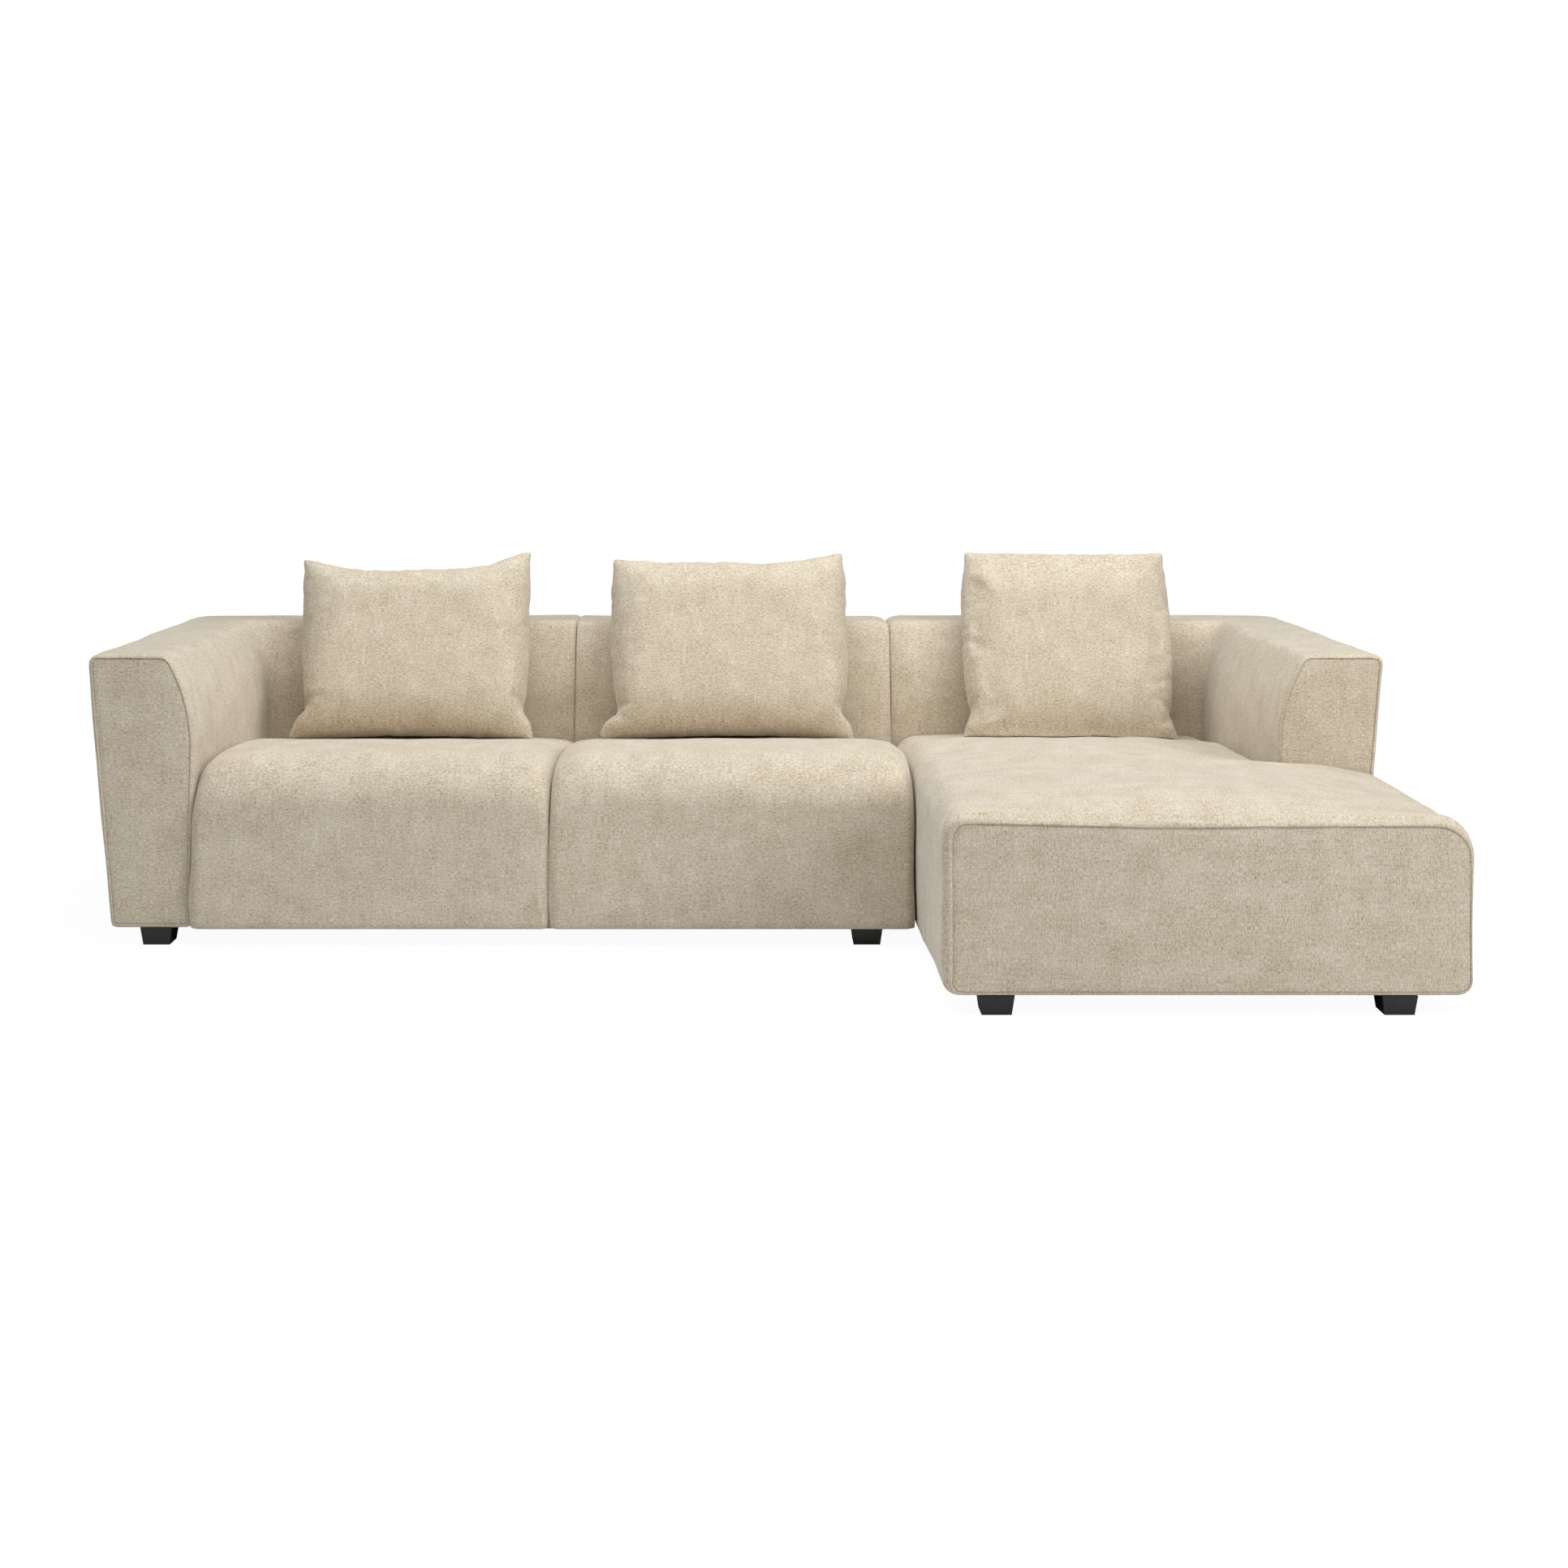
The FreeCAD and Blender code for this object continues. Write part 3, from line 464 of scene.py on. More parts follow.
def corner_bolster(x_end, rows):
    """Arm and back as one L-shaped bolster on the left side; the back ends at x_end."""
    loop = bolster_loop()
    rings = arm_rings(loop, rear)
    corner = len(rings) - 1
    shape = recessed(loop, 1.0, rim_width)
    start = shape[:, 0] - half_width
    x_full = x_end - rows[0][0]
    count = int((x_full + half_width) / ring_step)
    for k in range(1, count + 1):
        rings.append(back_ring(shape, start + (x_full - start) * k / count))
    rings += [end_ring(shape, x_end - depth, inset) for depth, inset in rows[1:]]
    return np.array(rings), corner


def soften_corner(rings, corner):
    """Round the crease where arm and back meet, more towards the top."""
    height = rings[corner, :, 2]
    soft = (crease_least + (1 - crease_least) * ease((height - crease_low) / crease_span))[None, :, None]
    for width in crease_widths:
        low, high = corner - width, corner + width + 1
        for _ in range(crease_passes):
            middle = (rings[low - 1:high - 1] + rings[low + 1:high + 1]) / 2
            rings[low:high] += (middle - rings[low:high]) * soft * crease_pull


def straight_bolster(name, x0, x1, start_rows, end_rows):
    """A length of back between two soft ends."""
    shape = recessed(bolster_loop(), 1.0, 0.0)
    rings = [end_ring(shape, x0 + depth, inset) for depth, inset in reversed(start_rows)]
    for x in spread(x0 + start_rows[0][0], x1 - end_rows[0][0], ring_step)[1:-1]:
        rings.append(back_ring(shape, x))
    rings += [end_ring(shape, x1 - depth, inset) for depth, inset in end_rows]
    return tube(name, rings, steps_up, steps_across, (0, -end_dome), (0, end_dome))


def build_corner(name, x_end, rows, side):
    """One arm with its back; side is 1 on the left, and -1 mirrors the shape to the right."""
    rings, corner = corner_bolster(x_end, rows)
    soften_corner(rings, corner)
    rings[:, :, 0] *= side
    return tube(name, rings, steps_up, steps_across, (1, -arm_face_dish), (0, side * end_dome))


def build_bolsters():
    tight = soft_rows(*tight_end)
    soft = soft_rows(*soft_end)
    left = build_corner("bolster_left", seam_x - seam_gap, tight, 1)
    right = build_corner("bolster_right", -joint_right, soft, -1)
    middle = straight_bolster("bolster_middle", seam_x + seam_gap, joint_left, tight, soft)
    for seed, thing in ((11, left), (12, right), (13, middle)):
        ruffle(thing, seed, bolster_uneven)
        keep_rest(thing)
    finished(left, "sofa_section", "upholstery_fabric", "arm_left_cover", "back_left_cover")
    finished(middle, "sofa_section", "upholstery_fabric", "back_middle_cover")
    finished(right, "chaise_section", "upholstery_fabric", "arm_right_cover", "back_right_cover")
    return left, middle, right


# Seats

def seat_section():
    """Clockwise loop of (y, height) through the seat's middle in four sides: front, top, rear, bottom."""
    ridge = seat_front + seat_roll
    rise = seat_roll_top - seat_roll
    turns = np.radians(np.linspace(0, 90, seat_roll_steps + 1))
    roll = [(ridge - seat_roll * math.cos(a) ** roll_power, rise + seat_roll * math.sin(a) ** roll_power)
            for a in turns]
    split = seat_roll_steps // 3
    corner = arc(seat_front + seat_corner, floor_gap + seat_corner, seat_corner, 225, 180, small_steps)
    depths = np.linspace(ridge, seat_rear - crest_end, seat_crest_steps)[1:]
    crest = [(y, float(np.interp(y, crest_y, crest_z))) for y in depths]
    rear_z = crest[-1][1] - rear_round_z
    rear_top, rear_side = halves(arc(seat_rear - rear_round, rear_z, rear_round, 90, 0, 6))
    rear_foot = (seat_rear, floor_gap + rear_foot_z)
    underside = [rear_foot, (seat_rear - rear_lip[0], floor_gap + rear_lip[1]),
                 (seat_rear - crest_end, recess_height),
                 (seat_front + rim_width + rim_lip, recess_height), (seat_front + rim_width, floor_gap),
                 (seat_front + seat_corner, floor_gap), corner[0]]
    return np.concatenate([resample(corner + roll[:split + 1], seat_steps_up),
                           resample(roll[split:] + crest + rear_top, seat_steps_deep),
                           resample(rear_side + [rear_foot], seat_steps_up),
                           resample(underside, seat_steps_deep)])


def seat_ring(loop, x, distance, reach):
    """The seat's section at a distance in from its side; its foot reaches out to meet its neighbour."""
    y, z = loop[:, 0].copy(), loop[:, 1].copy()
    drop = np.interp(y, side_drop_y, side_drop_z) * edge_fall(distance, seat_side_roll)
    z -= drop * ease((z - fall_low) / fall_span)
    drawn = draw_in * max(0.0, 1 - distance / draw_width) ** 2
    y += drawn * ease((seat_front + draw_reach - y) / draw_span)
    lift = foot_round * edge_fall(distance, foot_round)
    z += lift * ease((seat_front + foot_reach - y) / foot_reach_span) * ease((foot_top - z) / foot_span)
    lean = reach * ease((lean_top - z) / lean_span) * max(0.0, 1 - distance / seat_side_roll)
    return np.stack([x + lean, y, z], axis=1)


def build_seat(name, x0, x1, reach, seed):
    loop = seat_section()
    turns = [math.pi / 2 * k / seat_side_steps for k in range(seat_side_steps + 1)]
    edge = [seat_side_roll * (1 - math.cos(turn)) for turn in turns]
    rings = [seat_ring(loop, x0 + distance, distance, -reach) for distance in edge]
    for x in spread(x0 + edge[-1], x1 - edge[-1], seat_ring_step)[1:-1]:
        rings.append(seat_ring(loop, x, seat_side_roll, 0.0))
    rings += [seat_ring(loop, x1 - distance, distance, 0.0) for distance in reversed(edge)]
    thing = tube(name, rings, seat_steps_up, seat_steps_deep)
    ruffle(thing, seed, seat_uneven)
    keep_rest(thing)
    return finished(thing, "sofa_section", "upholstery_fabric", name + "_cover")


# Chaise

def chaise_edges(y, wide):
    """(rounding, drop) of the left and of the right upper edge at one depth, and the sag between them."""
    front = ease((chaise_front_zone - y) / chaise_front_span)
    behind = ease((y - chaise_rear_zone) / chaise_rear_span)
    left = (0.060 - 0.018 * front, 0.020 - 0.019 * front - 0.012 * behind)
    if wide:
        return left, (0.066 + 0.008 * front, 0.034 - 0.026 * front), chaise_sag * front
    return left, (0.046, 0.030 - 0.020 * behind), 0.0


def chaise_arch(x0, x1, crown, drop_left, drop_right, sag):
    """Points of the top between its rounded edges, falling over the outer parts of its width."""
    outer = 0.45
    points = []
    for t in np.linspace(0, 1, 40)[1:-1]:
        fall_left = drop_left * (1 - min(1, t / outer)) ** 2
        fall_right = drop_right * max(0, (t - 1 + outer) / outer) ** 2
        points.append((x0 + (x1 - x0) * t, crown - fall_left - fall_right - sag * math.sin(math.pi * t)))
    return points


def chaise_recess(loop, y, left, right):
    """Lift the underside inside the rim."""
    wide = y < shoulder_y
    if wide and not chaise_front + rim_width < y < shoulder_y - rim_width:
        return loop
    inside = (loop[:, 0] > left + rim_width) & (loop[:, 1] < recess_height)
    if wide:
        inside &= loop[:, 0] < right - rim_width
    loop[inside, 1] = recess_height
    return loop


def chaise_section(y):
    """Clockwise loop of (x, height) at one depth in four sides: left, top, right, bottom."""
    wide = y < shoulder_y
    left = float(np.interp(y, chaise_left_y, chaise_left_x))
    right = half_width + chaise_past_arm if wide else arm_inner - chaise_arm_gap
    crown = float(np.interp(y, chaise_crown_y, chaise_crown_z))
    (round_left, drop_left), (round_right, drop_right), sag = chaise_edges(y, wide)
    corner_left = float(np.interp(y, chaise_corner_y, chaise_corner_r))
    corner_right = chaise_corner if wide else chaise_corner_narrow
    x0, x1 = left + round_left, right - round_right
    steps = 12
    left_side, left_top = halves(arc(x0, crown - drop_left - round_left, round_left, 180, 90, steps))
    right_top, right_side = halves(arc(x1, crown - drop_right - round_right, round_right, 90, 0, steps))
    left_under, left_foot = halves(arc(left + corner_left, floor_gap + corner_left, corner_left,
                                       270, 180, round_steps))
    right_foot, right_under = halves(arc(right - corner_right, floor_gap + corner_right, corner_right,
                                         0, -90, round_steps))
    arch = chaise_arch(x0, x1, crown, drop_left, drop_right, sag)
    loop = np.concatenate([resample(left_foot + left_side, chaise_steps_up),
                           resample(left_top + arch + right_top, chaise_steps_across),
                           resample(right_side + right_foot, chaise_steps_up),
                           resample(right_under + left_under, chaise_steps_across)])
    return chaise_recess(loop, y, left, right)


def chaise_ring(loop, y):
    return np.stack([loop[:, 0], np.zeros(len(loop)) + y, loop[:, 1]], axis=1)


def chaise_face_rings():
    """Rings of the front face; its seam lies further in on the left side and on the top."""
    face = chaise_section(chaise_front + 0.0005)
    ahead = np.roll(face, -1, axis=0) - np.roll(face, 1, axis=0)
    outward = np.stack([-ahead[:, 1], ahead[:, 0]], axis=1) / np.linalg.norm(ahead, axis=1, keepdims=True)
    scale = 0.85 + 1.25 * np.maximum(0, -outward[:, 0]) + 0.75 * np.maximum(0, outward[:, 1])
    return [chaise_ring(offset_loop(face, inset * scale), chaise_front + depth)
            for depth, inset in face_rows(seam_inset, chaise_edge_depth)]


def build_chaise():
    first = chaise_front + chaise_edge_depth
    rim = chaise_front + rim_width
    stations = [first, first + 0.004, rim - rim_lip, rim + rim_lip]
    stations += spread(rim + 0.006, shoulder_y - rim_width, chaise_ring_step)
    stations += [shoulder_y - rim_width + rim_lip]
    rings = chaise_face_rings() + [chaise_ring(chaise_section(y), y) for y in stations]
    wide = chaise_section(shoulder_y - shoulder_step)
    for depth, inset in soft_rows(*shoulder_end):
        reach = inset * ease((wide[:, 0] - shoulder_x) / shoulder_span)
        rings.append(chaise_ring(offset_loop(wide, reach), shoulder_y - depth))
    rings.append(chaise_ring(chaise_section(shoulder_y + shoulder_step), shoulder_y + 2 * shoulder_step))
    for y in spread(shoulder_y + 0.010, seat_rear - rear_end[0], chaise_ring_step):
        rings.append(chaise_ring(chaise_section(y), y))
    last = chaise_section(seat_rear)
    for depth, inset in soft_rows(*rear_end)[1:]:
        rings.append(chaise_ring(offset_loop(last, np.full(len(last), inset)), seat_rear - depth))
    thing = tube("chaise_seat", rings, chaise_steps_up, chaise_steps_across, (1, -chaise_face_dish))
    ruffle(thing, 31, chaise_uneven)
    keep_rest(thing)
    return finished(thing, "chaise_section", "upholstery_fabric", "chaise_seat_cover")


# Loose cushions. Outlines are in metres on the cushion's own plane, from its middle.

class Pad:
    """Outline of one cushion: its side edges by height share, its top edge by width share, and its pinches.

    A pinch is its start beside the seam, its end, its depth and its width. A negative depth swells instead.
    """

    side_shares = (0.0, 0.035, 0.085, 0.165, 0.28, 0.55, 0.85, 0.97, 1.0)
    top_shares = (0.0, 0.04, 0.18, 0.36, 0.5, 0.64, 0.82, 0.96, 1.0)
    widest = 5

    def __init__(self, left, right, top, pinches, turn=0.0):
        self.left, self.right, self.top = left, right, top
        self.pinches = pinches
        self.turn = turn
        self.width = right[self.widest] - left[self.widest]

    def place(self, u, t):
        """Point of the middle plane at width share u and height share t, both from 0 to 1."""
        x0 = np.interp(t, self.side_shares, self.left)
        x1 = np.interp(t, self.side_shares, self.right)
        top = np.interp(u, self.top_shares, self.top)
        low = -cushion_height / 2 + cushion_sag * (1 - (2 * u - 1) ** 2)
        return x0 + (x1 - x0) * u, low + (cushion_height / 2 + top - low) * t


pads = {
    "left": Pad(
        (-0.297, -0.307, -0.303, -0.286, -0.292, -0.301, -0.305, -0.305, -0.300),
        (0.312, 0.323, 0.321, 0.308, 0.313, 0.315, 0.308, 0.302, 0.298),
        (-0.016, -0.013, -0.026, -0.030, -0.027, -0.025, -0.017, 0.009, 0.006),
        [((-0.300, -0.158), (-0.222, -0.150), 0.016, 0.011),
         ((0.322, -0.160), (0.285, -0.182), 0.012, 0.009),
         ((-0.285, -0.195), (-0.250, -0.222), -0.008, 0.018),
         ((0.306, -0.215), (0.285, -0.225), -0.006, 0.014),
         ((0.300, 0.150), (0.262, 0.132), 0.005, 0.010),
         ((-0.292, 0.180), (-0.262, 0.160), 0.004, 0.010)]),
    "middle": Pad(
        (-0.316, -0.330, -0.326, -0.301, -0.309, -0.317, -0.314, -0.307, -0.300),
        (0.314, 0.326, 0.322, 0.308, 0.321, 0.324, 0.318, 0.307, 0.300),
        (-0.013, -0.009, -0.010, -0.008, -0.005, -0.008, -0.005, 0.006, 0.003),
        [((-0.318, -0.168), (-0.268, -0.200), 0.014, 0.011),
         ((0.322, -0.165), (0.288, -0.196), 0.012, 0.010),
         ((-0.312, -0.060), (-0.255, -0.085), 0.006, 0.012),
         ((-0.310, 0.000), (-0.262, -0.012), 0.004, 0.010),
         ((0.316, -0.040), (0.280, -0.055), 0.004, 0.010),
         ((-0.312, -0.215), (-0.285, -0.225), -0.006, 0.014)]),
    "right": Pad(
        (-0.264, -0.275, -0.271, -0.254, -0.266, -0.275, -0.276, -0.270, -0.263),
        (0.261, 0.272, 0.268, 0.254, 0.257, 0.256, 0.252, 0.247, 0.241),
        (0.009, 0.014, 0.008, 0.002, 0.001, 0.001, 0.008, 0.016, 0.013),
        [((-0.272, -0.166), (-0.228, -0.130), 0.012, 0.010),
         ((0.266, -0.162), (0.225, -0.138), 0.014, 0.010),
         ((0.262, -0.178), (0.232, -0.198), 0.010, 0.009),
         ((0.258, -0.075), (0.218, -0.100), 0.006, 0.009),
         ((-0.262, 0.015), (-0.205, -0.005), 0.005, 0.012),
         ((0.254, 0.110), (0.228, 0.100), 0.004, 0.009),
         ((-0.262, -0.205), (-0.236, -0.218), -0.007, 0.015),
         ((0.252, -0.215), (0.226, -0.224), -0.007, 0.014)],
        turn=-6.0),
}


def edge_swell(distance, edge):
    """Share of the full thickness at a distance in from the seam."""
    t = np.clip(distance / edge, 0, 1)
    return (1 - (1 - t) ** 2.6) ** 0.58


def half_thickness(pad, u, t):
    """Half of the cushion's thickness at width share u and height share t."""
    swell_u = edge_swell(min(u, 1 - u) * pad.width, cushion_edge)
    swell_foot = edge_swell(t * cushion_height, cushion_foot)
    swell_top = edge_swell((1 - t) * cushion_height, cushion_edge)
    full = 0.93 + 0.07 * math.sin(math.pi * u) * math.sin(math.pi * t)
    settled = 1.04 - 0.10 * t
    return cushion_thickness / 2 * swell_u * (swell_foot * swell_top) * full * settled


def envelope(name, pad):
    """Two panels of cloth sewn together round their edge, already a little filled."""
    nx, nz = round(pad.width / cloth_step), round(cushion_height / cloth_step)
    points, faces = [], []
    index = {}
    for side in (-1, 1):
        for k in range(nz + 1):
            for i in range(nx + 1):
                if side > 0 and (i in (0, nx) or k in (0, nz)):
                    index[side, i, k] = index[-1, i, k]
                    continue
                u, t = i / nx, k / nz
                x, z = pad.place(u, t)
                index[side, i, k] = len(points)
                points.append((x, side * half_thickness(pad, u, t), z))
        for k in range(nz):
            for i in range(nx):
                quad = (index[side, i, k], index[side, i + 1, k],
                        index[side, i + 1, k + 1], index[side, i, k + 1])
                faces.append(quad if side < 0 else quad[::-1])
    return make_mesh(name, points, faces)


def set_cloth(settings):
    """Light cloth under a little pressure, slightly larger than its envelope."""
    settings.quality = 5
    settings.mass = 0.25
    settings.tension_stiffness = 18
    settings.compression_stiffness = 18
    settings.shear_stiffness = 6
    settings.bending_stiffness = 0.25
    settings.air_damping = 2
    settings.use_pressure = True
    settings.uniform_pressure_force = 1.2
    settings.shrink_min = -0.010
    settings.effector_weights.gravity = 0


def apply_modifiers(thing):
    """Put the shape that the modifiers give in the place of the mesh."""
    depsgraph = bpy.context.evaluated_depsgraph_get()
    mesh = bpy.data.meshes.new_from_object(thing.evaluated_get(depsgraph))
    thing.modifiers.clear()
    thing.data = mesh


def inflate(thing, seed):
    """Blow the loose envelope up with a cloth simulation and keep the result, within a small movement."""
    chooser = np.random.default_rng(seed)
    start = coordinates(thing.data)
    set_coordinates(thing.data, start + chooser.normal(0, cloth_jitter, start.shape))
    cloth = thing.modifiers.new("cloth", "CLOTH")
    set_cloth(cloth.settings)
    cloth.collision_settings.use_collision = False
    cloth.point_cache.frame_start = 1
    cloth.point_cache.frame_end = cloth_frames
    scene = bpy.context.scene
    for number in range(1, cloth_frames + 1):
        scene.frame_set(number)
    apply_modifiers(thing)
    scene.frame_set(1)
    move = coordinates(thing.data) - start
    length = np.linalg.norm(move, axis=1, keepdims=True)
    set_coordinates(thing.data, start + move * np.minimum(1, cloth_reach / np.maximum(length, tiny)))


def subdivide(thing):
    smooth = thing.modifiers.new("smooth", "SUBSURF")
    smooth.levels = smooth.render_levels = 1
    apply_modifiers(thing)


def fold(co, pad):
    """Sink the pinches near the seams into both faces, and swell where the depth is negative."""
    side = np.sign(co[:, 1])
    flat = co[:, [0, 2]]
    deepest = 0.7
    for start, end, depth, width in pad.pinches:
        start, end = np.array(start), np.array(end)
        along = end - start
        share = np.clip((flat - start) @ along / (along @ along), 0, 1)
        gap = np.linalg.norm(flat - start - share[:, None] * along, axis=1)
        sink = depth * np.exp(-(gap / width) ** 2) * (1 - 0.75 * share)
        co[:, 1] -= side * np.minimum(sink, np.abs(co[:, 1]) * deepest)
    return co


def pucker(co, seed):
    """Short ripples beside the seams, and the ridge of the seam itself."""
    ripple_width, ripple_height = 0.030, 0.0011
    welt_width, welt_height = 0.005, 0.0022
    across = np.abs(co[:, 1])
    ripple = swell(co * np.array([1, 0.3, 1]), seed, 1.0, 8, 0.020, 0.052)
    near = np.exp(-(across / ripple_width) ** 2)
    welt = np.exp(-(across / welt_width) ** 2) * welt_height
    out = co * np.array([1, 0, 1])
    out /= np.maximum(np.linalg.norm(out, axis=1, keepdims=True), tiny)
    return co + out * (ripple * near * ripple_height + welt)[:, None]


def point_corners(co):
    """Draw the four corners out to small points."""
    flat = co[:, [0, 2]]
    for side_x in (-1, 1):
        for side_z in (-1, 1):
            way = np.array([side_x, side_z]) / math.sqrt(2)
            tip = flat[np.argmax(flat @ way)]
            near = np.linalg.norm(flat - tip, axis=1) / cushion_point_width
            pull = cushion_point * np.exp(-near ** 2)
            co[:, 0] += pull * way[0]
            co[:, 2] += pull * way[1]
    return co


def press(co, seat, back):
    """Push the points that meet the seat or the back out to just off their surfaces."""
    depsgraph = bpy.context.evaluated_depsgraph_get()
    seat_tree, back_tree = (BVHTree.FromObject(thing, depsgraph) for thing in (seat, back))
    down, rearwards = Vector((0, 0, -1)), Vector((0, 1, 0))
    for index, point in enumerate(co):
        if point[2] < press_below:
            hit = seat_tree.ray_cast(Vector((point[0], point[1], press_above)), down)[0]
            if hit is not None and point[2] < hit.z + press_gap:
                co[index, 2] = hit.z + press_gap
        ahead = Vector((co[index, 0], co[index, 1] - press_ahead, co[index, 2]))
        hit = back_tree.ray_cast(ahead, rearwards)[0]
        if hit is not None and co[index, 1] > hit.y - press_gap:
            co[index, 1] = hit.y - press_gap
    return co


def build_cushion(name, seat, back, seed):
    lo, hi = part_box("cushion_" + name + "_cover")
    centre = np.array((lo + hi) / 2)
    pad = pads[name]
    thing = envelope("cushion_" + name, pad)
    inflate(thing, seed)
    subdivide(thing)
    keep_rest(thing)
    co = point_corners(pucker(fold(coordinates(thing.data), pad), seed))
    turn = Matrix.Rotation(math.radians(pad.turn), 3, "Z")
    lean = turn @ Matrix.Rotation(math.radians(-cushion_lean), 3, "X")
    co = co @ np.array(lean).T + centre + np.array(cushion_shift)
    set_coordinates(thing.data, press(co, seat, back))
    thing.data.shade_smooth()
    finished(thing, "cushion_" + name, "cushion_fabric", "cushion_" + name + "_cover",
             "cushion_" + name + "_insert")
    return thing


# Materials

def linear(r, g, b):
    def one(c):
        c /= 255
        return c / 12.92 if c <= 0.04045 else ((c + 0.055) / 1.055) ** 2.4
    return (one(r), one(g), one(b), 1.0)


class Graph:
    """A material's node tree with short helpers."""

    def __init__(self, name):
        self.material = bpy.data.materials.new(name)
        self.material.use_nodes = True
        self.nodes = self.material.node_tree.nodes
        self.links = self.material.node_tree.links
        self.shader = self.nodes["Principled BSDF"]

    def add(self, kind, **settings):
        node = self.nodes.new(kind)
        for key, value in settings.items():
            setattr(node, key, value)
        return node

    def feed(self, socket, value):
        if isinstance(value, bpy.types.NodeSocket):
            self.links.new(value, socket)
        else:
            socket.default_value = value

    def math(self, operation, a, b=0.0):
        node = self.add("ShaderNodeMath", operation=operation)
        for socket, value in zip(node.inputs, (a, b)):
            self.feed(socket, value)
        return node.outputs[0]

    def mix(self, share, a, b):
        node = self.add("ShaderNodeMix", data_type="FLOAT")
        for socket, value in zip((node.inputs[0], node.inputs[2], node.inputs[3]), (share, a, b)):
            self.feed(socket, value)
        return node.outputs[0]

    def colour(self, share, a, b):
        node = self.add("ShaderNodeMix", data_type="RGBA", blend_type="MIX")
        for socket, value in zip((node.inputs[0], node.inputs[6], node.inputs[7]), (share, a, b)):
            self.feed(socket, value)
        return node.outputs[2]

    def vector(self, x, y, z=0.0):
        node = self.add("ShaderNodeCombineXYZ")
        for socket, value in zip(node.inputs, (x, y, z)):
            self.feed(socket, value)
        return node.outputs[0]

    def noise(self, vector, scale, detail=2.0, roughness=0.5):
        node = self.add("ShaderNodeTexNoise")
        self.feed(node.inputs["Vector"], vector)
        node.inputs["Scale"].default_value = scale
        node.inputs["Detail"].default_value = detail
        node.inputs["Roughness"].default_value = roughness
        return node.outputs[0]

    def range(self, value, low, high, to_low=0.0, to_high=1.0):
        node = self.add("ShaderNodeMapRange")
        for socket, number in zip(node.inputs, (value, low, high, to_low, to_high)):
            self.feed(socket, number)
        return node.outputs[0]

    def bump(self, height, strength, distance):
        node = self.add("ShaderNodeBump")
        node.inputs["Strength"].default_value = strength
        node.inputs["Distance"].default_value = distance
        self.links.new(height, node.inputs["Height"])
        self.links.new(node.outputs[0], self.shader.inputs["Normal"])

    def surface(self, **values):
        for key, value in values.items():
            self.feed(self.shader.inputs[key.replace("_", " ")], value)
        return self.material


def cloth_plane(graph, turned):
    """Coordinates across and along the threads, in metres, on the plane that each face looks along."""
    place = graph.add("ShaderNodeAttribute", attribute_name="rest")
    split = graph.add("ShaderNodeSeparateXYZ")
    graph.links.new(place.outputs["Vector"], split.inputs[0])
    facing = graph.add("ShaderNodeSeparateXYZ")
    geometry = graph.add("ShaderNodeNewGeometry")
    graph.links.new(geometry.outputs["Normal"], facing.inputs[0])
    x, y, z = (graph.math("ABSOLUTE", facing.outputs[k]) for k in range(3))
    flat = graph.math("GREATER_THAN", z, graph.math("MAXIMUM", x, y))
    side = graph.math("GREATER_THAN", x, graph.math("MAXIMUM", y, z))
    u = graph.mix(side, split.outputs[0], split.outputs[1])
    v = graph.mix(flat, split.outputs[2], split.outputs[1])
    return (v, u) if turned else (u, v)


def streaks(graph, first, second, along, across, detail):
    """Noise stretched along the first direction; along and across count its cells per metre."""
    place = graph.vector(graph.math("MULTIPLY", first, along), graph.math("MULTIPLY", second, across))
    return graph.noise(place, 1.0, detail, 0.6)


def melange(graph, share, stops):
    """Colour of the yarn by its share; stops are (position, colour) from brown to cream."""
    ramp = graph.add("ShaderNodeValToRGB")
    graph.feed(ramp.inputs[0], share)
    elements = ramp.color_ramp.elements
    for element, (position, colour) in zip((elements[0], elements[1]), (stops[0], stops[2])):
        element.position = position
        element.color = colour
    elements.new(stops[1][0]).color = stops[1][1]
    return ramp.outputs[0]


def woven(name, cream, middle, brown, turned=False):
    """Melange cloth: fine slubs along and across the threads, longer faint ones, and soft mottling."""
    graph = Graph(name)
    u, v = cloth_plane(graph, turned)
    layers = [
        (streaks(graph, u, v, 120.0, 500.0, 2.0), 1.15),
        (streaks(graph, v, u, 130.0, 500.0, 2.0), 0.80),
        (streaks(graph, u, v, 24.0, 320.0, 1.0), 0.34),
        (streaks(graph, v, u, 22.0, 280.0, 1.0), 0.26),
        (streaks(graph, v, u, 7.0, 26.0, 2.0), 0.24),
        (streaks(graph, u, v, 9.0, 16.0, 2.0), 0.28),
    ]
    total = 0.5
    for noise, weight in layers:
        part = graph.math("MULTIPLY", graph.math("SUBTRACT", noise, 0.5), weight)
        total = graph.math("ADD", total, part)
    shade = melange(graph, total, ((0.12, brown), (0.5, middle), (0.85, cream)))
    relief = graph.math("ADD", layers[0][0], graph.math("MULTIPLY", layers[1][0], 0.8))
    graph.bump(relief, 0.5, 0.0010)
    material = graph.surface(Base_Color=shade, Roughness=0.92)
    graph.shader.inputs["Sheen Weight"].default_value = 0.34
    graph.shader.inputs["Sheen Roughness"].default_value = 0.45
    graph.shader.inputs["Specular IOR Level"].default_value = 0.18
    return material


